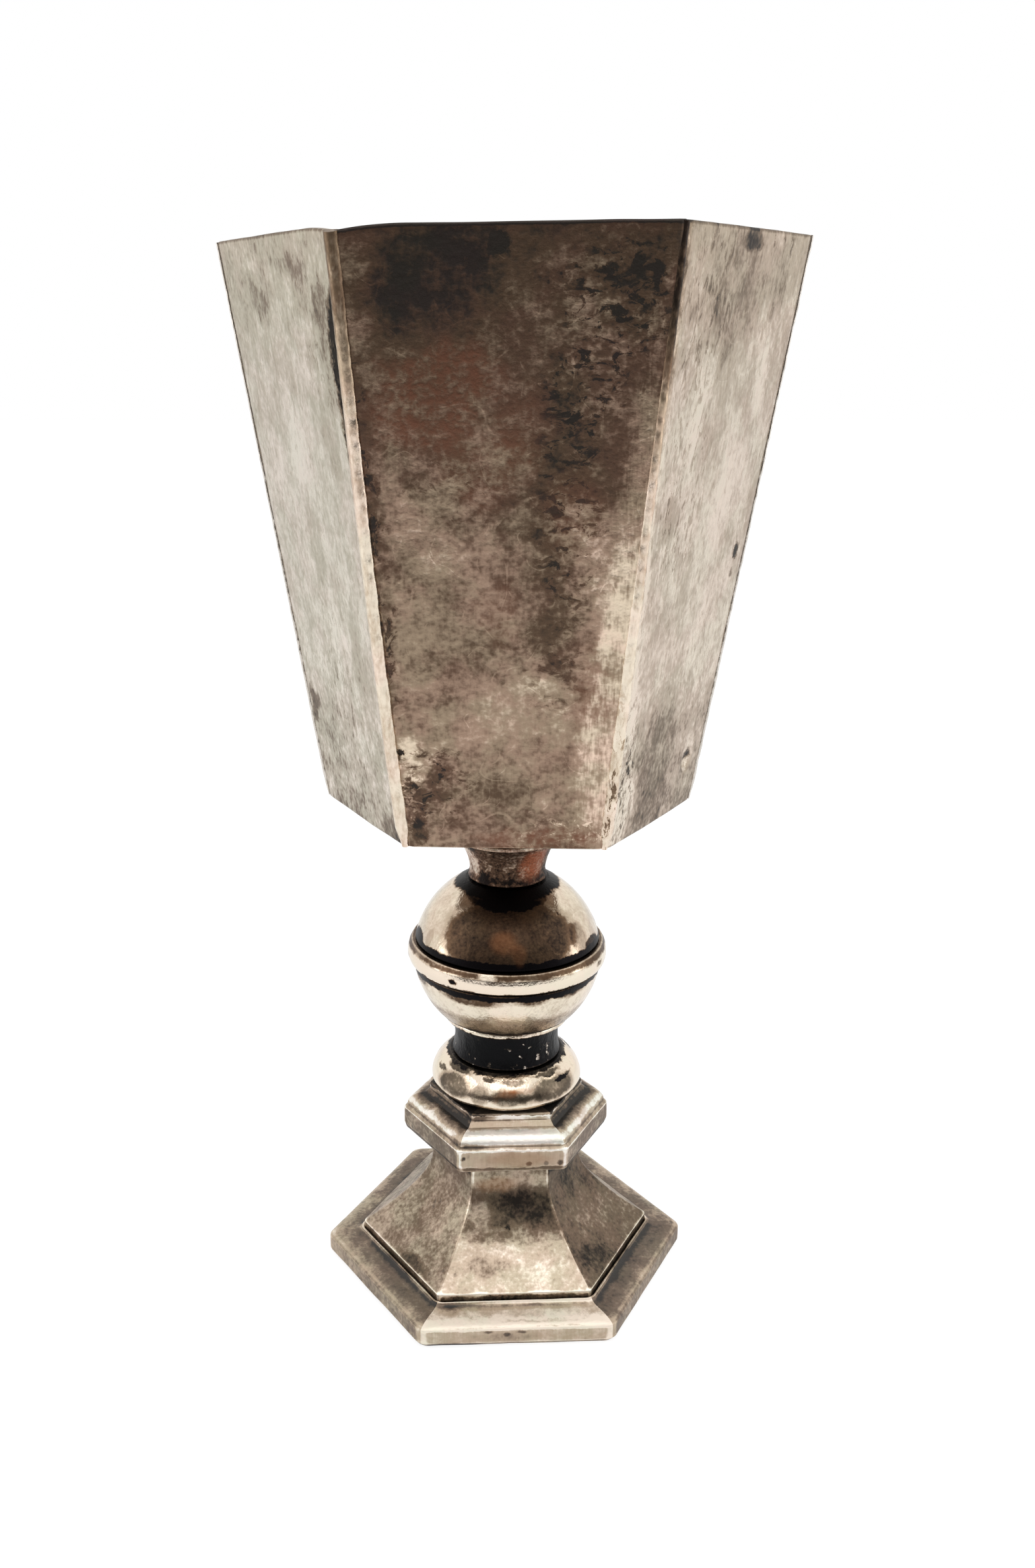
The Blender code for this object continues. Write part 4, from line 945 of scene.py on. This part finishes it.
def make_knop():
    middle, half_gap, shoulder = GIRDLE_MIDDLE, 0.00015, GIRDLE_HEIGHT / 2 + 0.0003
    seat = GIRDLE_RADIUS - GIRDLE_WALL
    rim, hollow, sphere = seat - 0.0003, KNOP_RADIUS - SHELL, middle - UPPER_SINK
    inner_rim = rim - SHELL
    spring = math.sqrt(hollow ** 2 - inner_rim ** 2)
    upper = [*socket(KNOP_TOP), *cap(KNOP_RADIUS, sphere, KNOP_TOP, middle + shoulder),
             (rim, middle + shoulder), (rim, middle + half_gap), (inner_rim, middle + half_gap),
             *reversed(cap(hollow, sphere, KNOP_TOP - END_WALL, sphere + spring, 12)),
             (BORE, KNOP_TOP - END_WALL)]
    # The big brown patch over the front of the upper shell is partly tarnish and partly a painted reflection
    # of the dim room, the band under its top at the front is a painted contact shadow and reflection, and the
    # copper patches at the front centre are partly a painted warm highlight.
    brown = [(0.6, -14.5, 69, 12, 6.4, 0.66), (0, -8.8, 74.6, 7.6, 1.4, 0.60), (-16.4, -4, 65.8, 3, 1.1, 0.8),
             (15.8, -6, 65.8, 3, 1.1, 0.7), (-9, 12, 70, 6, 4, 0.6), (13, -9, 68.5, 2.4, 3.2, 0.26),
             (8.8, -8.6, 73.2, 0.6, 1.2, 0.5), (-8.6, -8.4, 73.6, 0.6, 1.2, 0.5), (15, 4, 66.5, 3, 1.6, 0.6),
             (-13.5, -8, 67.5, 1, 3.4, 0.14)]
    copper = [(-0.4, -14.6, 69, 2.2, 1.8, 0.34), (2.2, -15.2, 67.2, 1.2, 1.8, 0.25), (-11, 11, 69, 3, 2, 0.4)]
    # The ring at the top is grime and a painted contact shadow under the neck; the one above the girdle
    # darkens the groove.
    grime_and_shade = [(KNOP_TOP, 0.0013, 1.2), (middle + 0.0024, 0.0011, 1.2)]
    metal = knop_plate("knop_upper_plate", 0.15, brown, copper, grime_and_shade, soft=0.16)
    shell = turned("knop_upper_shell", upper, metal, 51.0, columns=241, ripple=0.00006, ripple_size=0.006)
    stands_for(shell, "knop_upper")

    spigot_end = RING_FOOT - SPIGOT_LENGTH
    lower = [(inner_rim, middle - half_gap), (rim, middle - half_gap), (rim, middle - shoulder),
             *cap(KNOP_RADIUS, middle, middle - shoulder, KNOP_FOOT), *spigot(KNOP_FOOT, spigot_end),
             (BORE, KNOP_FOOT + END_WALL),
             *reversed(cap(hollow, middle, middle - spring, KNOP_FOOT + END_WALL, 12))]
    specks = [(-6, -14.5, 58.6, 5.5, 1, 0.6), (4, -15.5, 58.9, 3, 0.9, 0.5), (11, -11.5, 59, 3, 0.8, 0.55),
              (-14, -6, 58.5, 3, 0.9, 0.5), (10, 11, 58.5, 6, 1, 0.6), (-8, 13, 58, 5, 1.1, 0.5)]
    # The lower shell's rings are painted shade towards its foot and along it, and a painted shadow under the
    # girdle, with some grime.
    grime_and_shade = [(KNOP_FOOT + 0.0022, 0.0024, 0.34), (KNOP_FOOT, 0.0006, 0.8), (middle - 0.0026, 0.0010, 1.0)]
    metal = knop_plate("knop_lower_plate", 0.10, specks, [], grime_and_shade, 0.031, Smooth=0.16, Uneven=0.42)
    shell = turned("knop_lower_shell", lower, metal, 52.0, columns=241)
    stands_for(shell, "knop_lower")

    moulding = ((0.72, 1.9), (0.16, 0.86), (0.0, 0.0), (0.0, -0.76), (0.19, -1.52), (0.64, -1.9))
    outer = [(GIRDLE_RADIUS - depth / 1000, middle + height / 1000) for depth, height in moulding]
    band = [(seat, middle + GIRDLE_HEIGHT / 2), *outer, (seat, middle - GIRDLE_HEIGHT / 2)]
    pits = [(-9, -15.2, 61.9, 0.9, 0.5, 1.1), (-3.2, -17.2, 63.7, 1.5, 0.6, -0.7),
            (16, -7, 62.4, 1.2, 0.4, 0.6), (-17, -3, 61.6, 1.2, 0.4, 0.6)]
    # The girdle is darker over its upper bevel, and a painted shadow darkens its lower edge.
    grime_and_shade = [(middle + 0.0019, 0.0014, 0.66), (middle - 0.0019, 0.0005, 0.9)]
    metal = knop_plate("knop_girdle_plate", 0.0, pits, [], grime_and_shade, 0.017, Smooth=0.14, Uneven=0.30)
    girdle = turned("knop_girdle_band", band, metal, 53.0, radius=0.00030, step=0.0004, columns=241)
    stands_for(girdle, "knop_girdle")

    round_half = (RING_TOP - RING_FOOT) / 2
    centre = (RING_RADIUS - round_half, RING_FOOT + round_half)
    edge = arc(centre, round_half, round_half, math.pi / 2, -math.pi / 2, 8)
    ring = [(SOCKET, RING_TOP), *edge, (SOCKET, RING_FOOT)]
    # A painted shadow darkens the bead ring along its foot.
    metal = knop_plate("knop_bead_plate", 0.10, [], [], [(RING_FOOT, 0.0005, 0.8)], 0.044, Smooth=0.14,
                       Uneven=0.5)
    bead = turned("knop_bead_ring", ring, metal, 54.0, radius=0.0001, step=0.0003)
    stands_for(bead, "knop_bead")


def bare_brass():
    metal = Metal("bare_brass")
    # Its edges are made paler by wear and a painted highlight.
    plate = metal.worn(metal.ridge.fade(0.01, 0.05, 0.0, -0.2) + 0.38, (0.72, 0.52, 0.26), (0.46, 0.32, 0.15),
                       (0.16, 0.095, 0.045), (0.03, 0.02, 0.015), Uneven=0.6, Brushed=0.2)
    return metal.finish(*plate, 0.00008)


BRASS = bare_brass()
make_knop()
dress("knop_sleeve", BRASS)


# Waist: the dark drum under the knop, turned with hollow sides. It is coloured near black all round, with a
# few pale specks where something scraped it.

WAIST_FOOT, WAIST_TOP, WAIST_RADIUS, WAIST_HOLLOW = 0.04243, 0.04873, 0.0093, 0.0004


def blackened():
    metal = Metal("blackened")
    speck, patchy = metal.noise(metal.place, 1 / 900, 3.0), metal.noise(metal.place, 1 / 170, 2.0)
    scraped = speck.fade(0.57, 0.65) * patchy.fade(0.50, 0.62)
    # Its edges are made paler by wear and a painted highlight.
    tarnish = metal.ridge.fade(0.01, 0.05, 0.0, -0.35) - scraped * 1.1 + 1.15
    plate = metal.worn(tarnish, (0.62, 0.57, 0.50), (0.36, 0.32, 0.28), (0.05, 0.038, 0.03),
                       (0.010, 0.010, 0.011), Smooth=0.25, Rough=0.40, Mottle=0.0020, Fleck=0.0005,
                       Upright=1.6)
    return metal.finish(*plate, 0.00012)


def make_waist():
    half = (WAIST_TOP - WAIST_FOOT) / 2
    shares = [1 - n / 10 for n in range(21)]
    outer = [(WAIST_RADIUS + WAIST_HOLLOW * share ** 2, WAIST_FOOT + half * (1 + share)) for share in shares]
    waist = turned("waist", seated(outer, WAIST_FOOT, WAIST_TOP), blackened(), 61.0, ripple=0.00012,
                   ripple_size=0.0022)
    stands_for(waist, "waist_spool")


make_waist()


# Round collar: a full flattened moulding turned from the solid and plated. It is the brightest piece of the
# stem, with black specks of old grime along its top and thin brown spots where the plate is wearing through.
# Rings of grime and painted contact shadow darken its top and foot, and darker patches beside its front are
# painted reflections.

ROUND_FOOT, ROUND_WIDEST, ROUND_TOP = 0.0356, 0.03745, 0.04213


def make_round_collar():
    reach, top_reach, foot_reach, rise, drop = 0.01356, 0.0102, 0.0115, 0.0071, 0.0035
    middle = (0, ROUND_WIDEST)
    outer = arc(middle, reach, rise, math.acos(top_reach / reach), 0, 16)
    outer += arc(middle, reach, drop, 0, -math.acos(foot_reach / reach), 8)[1:]
    # The broad darker patches either side of the front, and the tall narrow one left of its centre, are
    # painted reflections.
    specks = [(-3, -11.2, 41.3, 1.2, 0.3, 0.8), (1.5, -11.6, 41.1, 2.2, 0.35, 0.5),
              (7.5, -8.6, 41.4, 3, 0.3, 0.7), (10.4, -7, 40.2, 2.6, 0.3, 0.5),
              (-8.6, -7.6, 41.5, 3, 0.35, 0.7), (-11.5, -4.6, 40.4, 1.6, 0.3, 0.6),
              (10.5, 5, 41, 2.5, 0.5, 0.7), (-6, 9.5, 41.3, 3, 0.5, 0.7), (-4.6, -12.7, 38.9, 1.5, 2.6, 0.50),
              (-9.6, -9.4, 39.2, 4.4, 1.9, 0.66), (9, -9.9, 39.2, 5, 1.9, 0.66),
              (4.6, -12.6, 38.2, 2.2, 1.2, 0.26), (0.6, -13.2, 38.8, 3.4, 1.5, 0.55), (-12, 5, 39, 3, 2, 0.3),
              (8, 10, 39, 4, 2, 0.35)]
    brass = [(0.5, -12.6, 39.6, 1.6, 0.8, 0.50), (2.8, -12.5, 40, 2, 0.5, 0.45),
             (-1.6, -12.9, 38.6, 0.8, 0.8, 0.30)]
    # The rings at its top and foot are grime and a painted contact shadow where it meets the waist and the hex
    # collar.
    grime_and_shade = [(ROUND_TOP, 0.0005, 0.9), (ROUND_FOOT, 0.0012, 1.1)]
    metal = knop_plate("round_collar_plate", 0.04, specks, brass, grime_and_shade, 0.053, 0.3, (0.125, 0.100, 0.074),
                       Smooth=0.09, Uneven=0.34)
    outline = seated(outer, ROUND_FOOT, ROUND_TOP)
    collar = turned("round_collar_moulding", outline, metal, 71.0, columns=241, ripple=0.00010,
                    ripple_size=0.005)
    stands_for(collar, "round_collar")


make_round_collar()


# Foot: three hexagonal castings in plated brass, filed and planished. The collar has a lip, a cove, a rounded
# band and a square band. The flare is hollow with curved sides. It stands in the plinth, a moulded ring.

FOOT_TURN = math.radians(5)
COLLAR_FOOT, COLLAR_TOP = 0.0259, 0.0353
COLLAR_LIP, COLLAR_COVE, COLLAR_WIDEST, COLLAR_UNDER = 0.01405, 0.01513, 0.0189, 0.0166
FLARE_LIP, FLARE_BEND, NECK_LOW, CROWN_TOP, CROWN_UNDER = 0.0063, 0.0155, 0.0210, 0.0271, 0.0241
FLARE_RADIUS, FLARE_NECK, FLARE_WALL = 0.0267, 0.01365, 0.0016
PLINTH_TOP, PLINTH_STEP, PLINTH_SIDE, PLINTH_LEDGE = 0.0052, 0.0044, 0.0036, 0.0033
PLINTH_RADIUS, PLINTH_STEP_RADIUS, PLINTH_BORE = 0.0335, 0.0293, 0.0220
CORNER_GAP = 0.0003 / ACROSS_FLATS


def six_sided_form_tree():
    """The outline's radii are those of the corners, which are rounded over a set width of each side."""
    names = ("Turn", "Corner width", "Corner columns")
    tree, bench, given, grid, share, radius, height = swept_tree("six_sided_form", names, ("Metal",))
    side = bench.maths("FLOOR", share * 6.0)
    across = (share * 6.0 - side) * 2.0 - 1.0
    from_corner = abs(across)
    tangent, rounded = given["Corner width"], given["Corner columns"]
    bend = tangent / HALF_WIDTH
    lean = across / rounded * (SIXTH / 2)
    arc_x = bench.maths("COSINE", lean) * bend + (radius - bend / ACROSS_FLATS)
    arc_y = bench.maths("SINE", lean) * bend
    past_corner = bench.maths("MAXIMUM", (from_corner - rounded) / (1.0 - rounded), 0.0)
    along = bench.maths("POWER", past_corner, 1.35) * (radius * 0.5 - tangent) + tangent
    flat_x = radius - along * 0.5
    flat_y = along * ACROSS_FLATS * bench.maths("SIGN", across)
    on_arc = bench.maths("LESS_THAN", from_corner, rounded)
    on_flat = 1.0 - on_arc
    flat = bench.joined(on_arc * arc_x + on_flat * flat_x, on_arc * arc_y + on_flat * flat_y, height)
    place = about_stem(bench, flat, side * SIXTH + given["Turn"])
    end_tree(bench, swept(bench, given, grid, place), given["Metal"])
    return tree


SIX_SIDED_FORM = six_sided_form_tree()


def six_sided(name, outline, metal, seed, corner, radius, ripple=0.00010, ripple_size=0.005):
    sizes = {"Columns": 241, "Turn": FOOT_TURN, "Corner width": corner, "Corner columns": 0.2,
             "Ripple height": ripple, "Ripple size": ripple_size, "Seed": seed, "Metal": metal}
    return formed(name, eased(outline, radius, 0.0005), SIX_SIDED_FORM, sizes)


def round_about(level, front):
    """A level for each of the foot's sides, with its own for the front one."""
    return (level, level, level, level, front, level)


def foot_plate(name, seed, side_levels, uneven, bands, marks, copper, edge_wear_and_highlight, corner_dirt_and_shade=0.6,
               metallic=0.9, wander=0.0014, bright=(0.91, 0.84, 0.74), dull=(0.50, 0.415, 0.325),
               smooth=0.28):
    """Worn cast plate: stained, and tarnished by side and in bands, partly as painted shade. Its edges are
    bright from wear and a painted highlight, and its corners dark from dirt and painted shade.
    """
    metal = Metal(name)
    side = metal.group(SIX_SIDES, Vector=metal.place, Turn=FOOT_TURN)["Side"]
    shifted = metal.place + (seed, -seed, 0.0)
    ragged = metal.ragged(0.0035, wander)
    total = metal.stains(ragged, marks)
    _, _, wavy = metal.axes(ragged)
    for low, high, soft, levels in bands:
        band = wavy.fade(low - soft, low + soft) * wavy.fade(high - soft, high + soft, 1.0, 0.0)
        total = metal.maths("MULTIPLY_ADD", band, metal.side_levels(side, levels), total)
    # Grooves are darkened by dirt and painted shade, and edges made paler by wear and a painted highlight.
    groove = metal.ridge.fade(-0.060, -0.010, corner_dirt_and_shade, 0.0)
    edge = metal.ridge.fade(0.012, 0.048, 0.0, edge_wear_and_highlight)
    colour, roughness, relief = metal.worn(
        metal.side_levels(side, side_levels) + total + groove + edge, bright, dull, (0.165, 0.120, 0.085),
        (0.024, 0.020, 0.017), Vector=shifted, Smooth=smooth, Rough=0.5, Cloud=0.012, Mottle=0.0034,
        Fleck=0.0007, Brushed=0.15, Scratched=0.05, Tinted=0.6, Uneven=metal.side_levels(side, uneven))
    cells = {"Vector": shifted, "Scale": 420.0, "Randomness": 1.0}
    pits = metal.node("ShaderNodeTexVoronoi", cells, "Distance")
    pitted = pits.fade(0.10, 0.24, 1.0, 0.0) * metal.noise(shifted, 1 / 130, 3.0).fade(0.52, 0.64)
    colour = metal.blend(metal.least(metal.stains(ragged, copper), 0.8), colour, (0.30, 0.15, 0.07))
    colour = metal.blend(pitted * 0.6, colour, (0.06, 0.042, 0.03))
    return metal.finish(colour, roughness, relief - pitted * 0.8, 0.00012, metallic)


def bent_line(start, bend, end, count):
    """Points of a curve that leaves start towards bend and reaches end from there."""
    start, bend, end = Vector(start), Vector(bend), Vector(end)
    return [start.lerp(bend, n / count).lerp(bend.lerp(end, n / count), n / count) for n in range(count + 1)]


def make_collar():
    lip_under, band_top, band_foot = COLLAR_TOP - 0.0012, COLLAR_FOOT + 0.0045, COLLAR_FOOT + 0.0015
    ovolo_top, ovolo_low, ovolo_reach = lip_under - 0.0009, band_top + 0.0006, COLLAR_WIDEST - 0.0006
    key, key_top = FLARE_NECK + CORNER_GAP, COLLAR_FOOT + 0.0015
    centre, rise = (COLLAR_COVE, ovolo_low), ovolo_top - ovolo_low
    ovolo = arc(centre, ovolo_reach - COLLAR_COVE, rise, math.pi / 2, 0, 10)
    outline = [(BORE, COLLAR_TOP), (COLLAR_LIP, COLLAR_TOP), (COLLAR_LIP, lip_under), *ovolo,
               (COLLAR_WIDEST, band_top), (COLLAR_WIDEST, band_foot),
               (COLLAR_WIDEST - 0.0004, COLLAR_FOOT + 0.0004), (COLLAR_UNDER, COLLAR_FOOT),
               (key, COLLAR_FOOT), (key, key_top), (BORE, key_top)]
    ovolo_levels = (0.2, 0.2, 0.2, 0.34, 0.0, 0.34)
    # The band's rounded foot, the cove under the lip and the lip's top are darkened by painted shadow and
    # dirt, and the low ovolo band at the front by a painted soft shadow.
    bands = [(band_foot - 0.0001, band_top - 0.0001, 0.0002, round_about(0.16, 0.40)),
             (COLLAR_FOOT, band_foot - 0.0002, 0.0002, round_about(0.40, 0.65)),
             (lip_under - 0.0010, lip_under + 0.0001, 0.0003, round_about(0.34, 0.34)),
             (COLLAR_TOP - 0.0003, COLLAR_TOP + 0.001, 0.0001, round_about(0.8, 0.8)),
             (ovolo_top - 0.0006, ovolo_top + 0.0004, 0.0003, ovolo_levels),
             (ovolo_low + 0.0002, ovolo_low + 0.0008, 0.0002, ovolo_levels),
             (ovolo_low - 0.0004, ovolo_low + 0.0009, 0.0004, round_about(0.0, 0.44))]
    # The two dark marks high on the lip's front are a painted shadow under the round collar, with dirt.
    marks = [(-7.5, -15.2, 31.6, 1.6, 1.2, 0.20), (-4.8, -13.6, 34.7, 3.2, 0.6, 0.62),
             (5.8, -13.6, 34.5, 2.6, 0.4, 0.40), (-5.6, -15.6, 31, 2.6, 0.5, 0.30),
             (4.3, -16.1, 28, 0.5, 0.4, 0.5), (-7.3, -17.1, 29, 0.4, 0.4, 0.5),
             (9.9, -15.6, 27.9, 0.5, 0.5, 0.4)]
    metal = foot_plate("hex_collar_plate", 0.071, (0.44, 0.36, 0.40, 0.46, 0.0, 0.46),
                       (0.5, 0.5, 0.5, 0.46, 0.16, 0.46), bands, marks, [(2.5, -16.3, 28.8, 5.6, 1.4, 0.45)],
                       -0.40, 0.36, 0.50, 0.0008, (0.96, 0.93, 0.87), (0.50, 0.40, 0.30))
    collar = six_sided("hex_collar_casting", outline, metal, 81.0, 0.0006, 0.00030)
    stands_for(collar, "hex_collar")


def make_flare():
    outside = bent_line((FLARE_NECK, NECK_LOW), (FLARE_NECK, FLARE_BEND), (FLARE_RADIUS, FLARE_LIP), 30)
    inside = [(radius - FLARE_WALL, z - FLARE_WALL) for radius, z in outside]
    skirt = PLINTH_LEDGE + 0.0003
    outline = [(BORE, CROWN_TOP), (FLARE_NECK, CROWN_TOP), *outside, (FLARE_RADIUS, skirt),
               (FLARE_RADIUS - FLARE_WALL, skirt), *reversed(inside), (FLARE_NECK - FLARE_WALL, CROWN_UNDER),
               (BORE, CROWN_UNDER)]
    # The band high on the neck, just under the collar, is a painted shadow.
    bands = [(0.0122, 0.0240, 0.0007, round_about(0.0, 0.08)),
             (0.0135, 0.0196, 0.0016, round_about(0.0, 0.36)),
             (0.0226, 0.0262, 0.0005, round_about(0.34, 0.10)),
             (0.0142, 0.0228, 0.0020, round_about(0.08, 0.08)),
             (0.0030, 0.0058, 0.0003, round_about(0.12, 0.52))]
    # The white dot at the front is a painted highlight on a small pit.
    marks = [(-4.4, -14.6, 16.6, 2.3, 3, -0.30), (-1, -16.5, 12.6, 5, 0.8, 0.22),
             (3.5, -13, 17.5, 4, 3, 0.10), (16.3, -14.2, 8.6, 3.6, 2, 0.16),
             (-13.5, -8, 18, 3, 3, 0.05), (-16.5, -16, 7, 4.5, 0.7, 0.28),
             (0.9, -15.2, 14.7, 0.35, 0.35, -1.2), (0.7, -15.2, 14.2, 0.6, 0.5, 0.4),
             (6.5, -20.5, 8.6, 2, 1.8, -0.05), (-3, -20, 9.5, 4, 1.2, 0.12), (15, 8, 14, 4, 4, 0.2),
             (-12, 12, 14, 4, 4, 0.2), (2, 17, 12, 5, 3, 0.2)]
    metal = foot_plate("flare_plate", 0.023, (0.52, 0.48, 0.50, 0.50, 0.32, 0.70),
                       (0.5, 0.5, 0.5, 0.44, 0.48, 0.50), bands, marks, [(-1.5, -12.2, 21, 3.4, 1.4, 0.45)],
                       -0.6, 0.35, smooth=0.34)
    flare = six_sided("foot_flare_casting", outline, metal, 82.0, 0.00045, 0.00025, 0.00016, 0.006)
    stands_for(flare, "foot_flare")


def make_plinth():
    rebate = FLARE_RADIUS + CORNER_GAP
    edge, arris = rebate + CORNER_GAP, PLINTH_SIDE - 0.0003
    cavetto = hollow_curve((edge, PLINTH_TOP), (PLINTH_STEP_RADIUS, PLINTH_STEP), 2, 8)
    reach, rise = PLINTH_RADIUS - PLINTH_STEP_RADIUS, PLINTH_STEP - arris
    ovolo = arc((PLINTH_STEP_RADIUS, arris), reach, rise, math.pi / 2, 0, 9)[1:]
    outline = [(rebate, PLINTH_TOP), *cavetto, *ovolo, (PLINTH_RADIUS, 0.0009), (PLINTH_RADIUS - 0.0008, 0),
               (PLINTH_BORE, 0), (PLINTH_BORE, PLINTH_LEDGE), (rebate, PLINTH_LEDGE)]
    # The darker band round the very bottom, and the dark mark along the bottom edge at the front, are a
    # painted contact shadow where the plinth meets the floor.
    bands = [(PLINTH_STEP - 0.0001, PLINTH_STEP + 0.0003, 0.0001, round_about(0.15, 0.20)),
             (-0.001, arris - 0.0001, 0.00012, (0.1, 0.1, 0.1, 0.0, 0.28, 0.0)),
             (-0.001, 0.0006, 0.0003, round_about(0.25, 0.25))]
    marks = [(6.5, -28, 4.1, 6.5, 0.10, 0.20), (9.5, -28.4, 3.8, 4.5, 0.10, 0.24),
             (-3, -28, 3.7, 6, 0.08, 0.12), (-9, -26.2, 4.8, 4, 0.3, 0.34), (-21, -15, 5, 5.5, 0.4, 0.35),
             (23.5, -12, 5, 5.5, 0.4, 0.35), (1, -29, 1.9, 6, 0.8, 0.16), (-8, -25.5, 5, 6, 0.3, 0.30),
             (-9, -29, 0.4, 5, 0.5, 0.4), (-6.6, -28.4, 2.7, 0.9, 0.4, 0.40),
             (-4.2, -28.7, 2.2, 0.6, 0.5, 0.40), (-2.4, -28.8, 2.9, 0.9, 0.3, 0.40),
             (0.8, -29, 2.4, 0.5, 0.4, 0.35), (3.4, -29.2, 2.8, 1, 0.3, 0.35),
             (6.5, -29.4, 1.4, 0.7, 0.4, 0.30), (-10.5, -28.2, 1.5, 0.6, 0.5, 0.35),
             (11, -29.6, 2.6, 0.6, 0.3, 0.30)]
    metal = foot_plate("plinth_plate", 0.047, (0.48, 0.42, 0.46, 0.50, 0.0, 0.60),
                       (0.5, 0.5, 0.5, 0.40, 0.26, 0.40), bands, marks, [(11, -28.5, 2.2, 6, 1.2, 0.12)],
                       -0.30, 0.6, 0.20, 0.0004, (0.94, 0.85, 0.72), (0.50, 0.40, 0.29), 0.36)
    plinth = six_sided("foot_plinth_ring", outline, metal, 83.0, 0.0013, 0.00022, 0.00012, 0.006)
    stands_for(plinth, "foot_plinth")


make_collar()
make_flare()
make_plinth()


# Rod, washer and nut: a steel rod runs up through the whole stem, and a brass nut on a washer pulls it tight
# inside the hollow foot. They show only from underneath.


def rod_steel():
    metal = Metal("rod_steel")
    colour, roughness, _ = metal.worn(0.40, (0.56, 0.55, 0.54), (0.36, 0.34, 0.32), (0.17, 0.10, 0.06),
                                      (0.04, 0.03, 0.025), Mottle=0.0025, Uneven=0.7)
    pitch = 0.0008
    return metal.finish(colour, roughness, metal.maths("PINGPONG", metal.height, pitch / 2), 1.0)


dress("tie_rod", rod_steel())
dress("clamp_washer", BRASS)
dress("clamp_nut", BRASS)
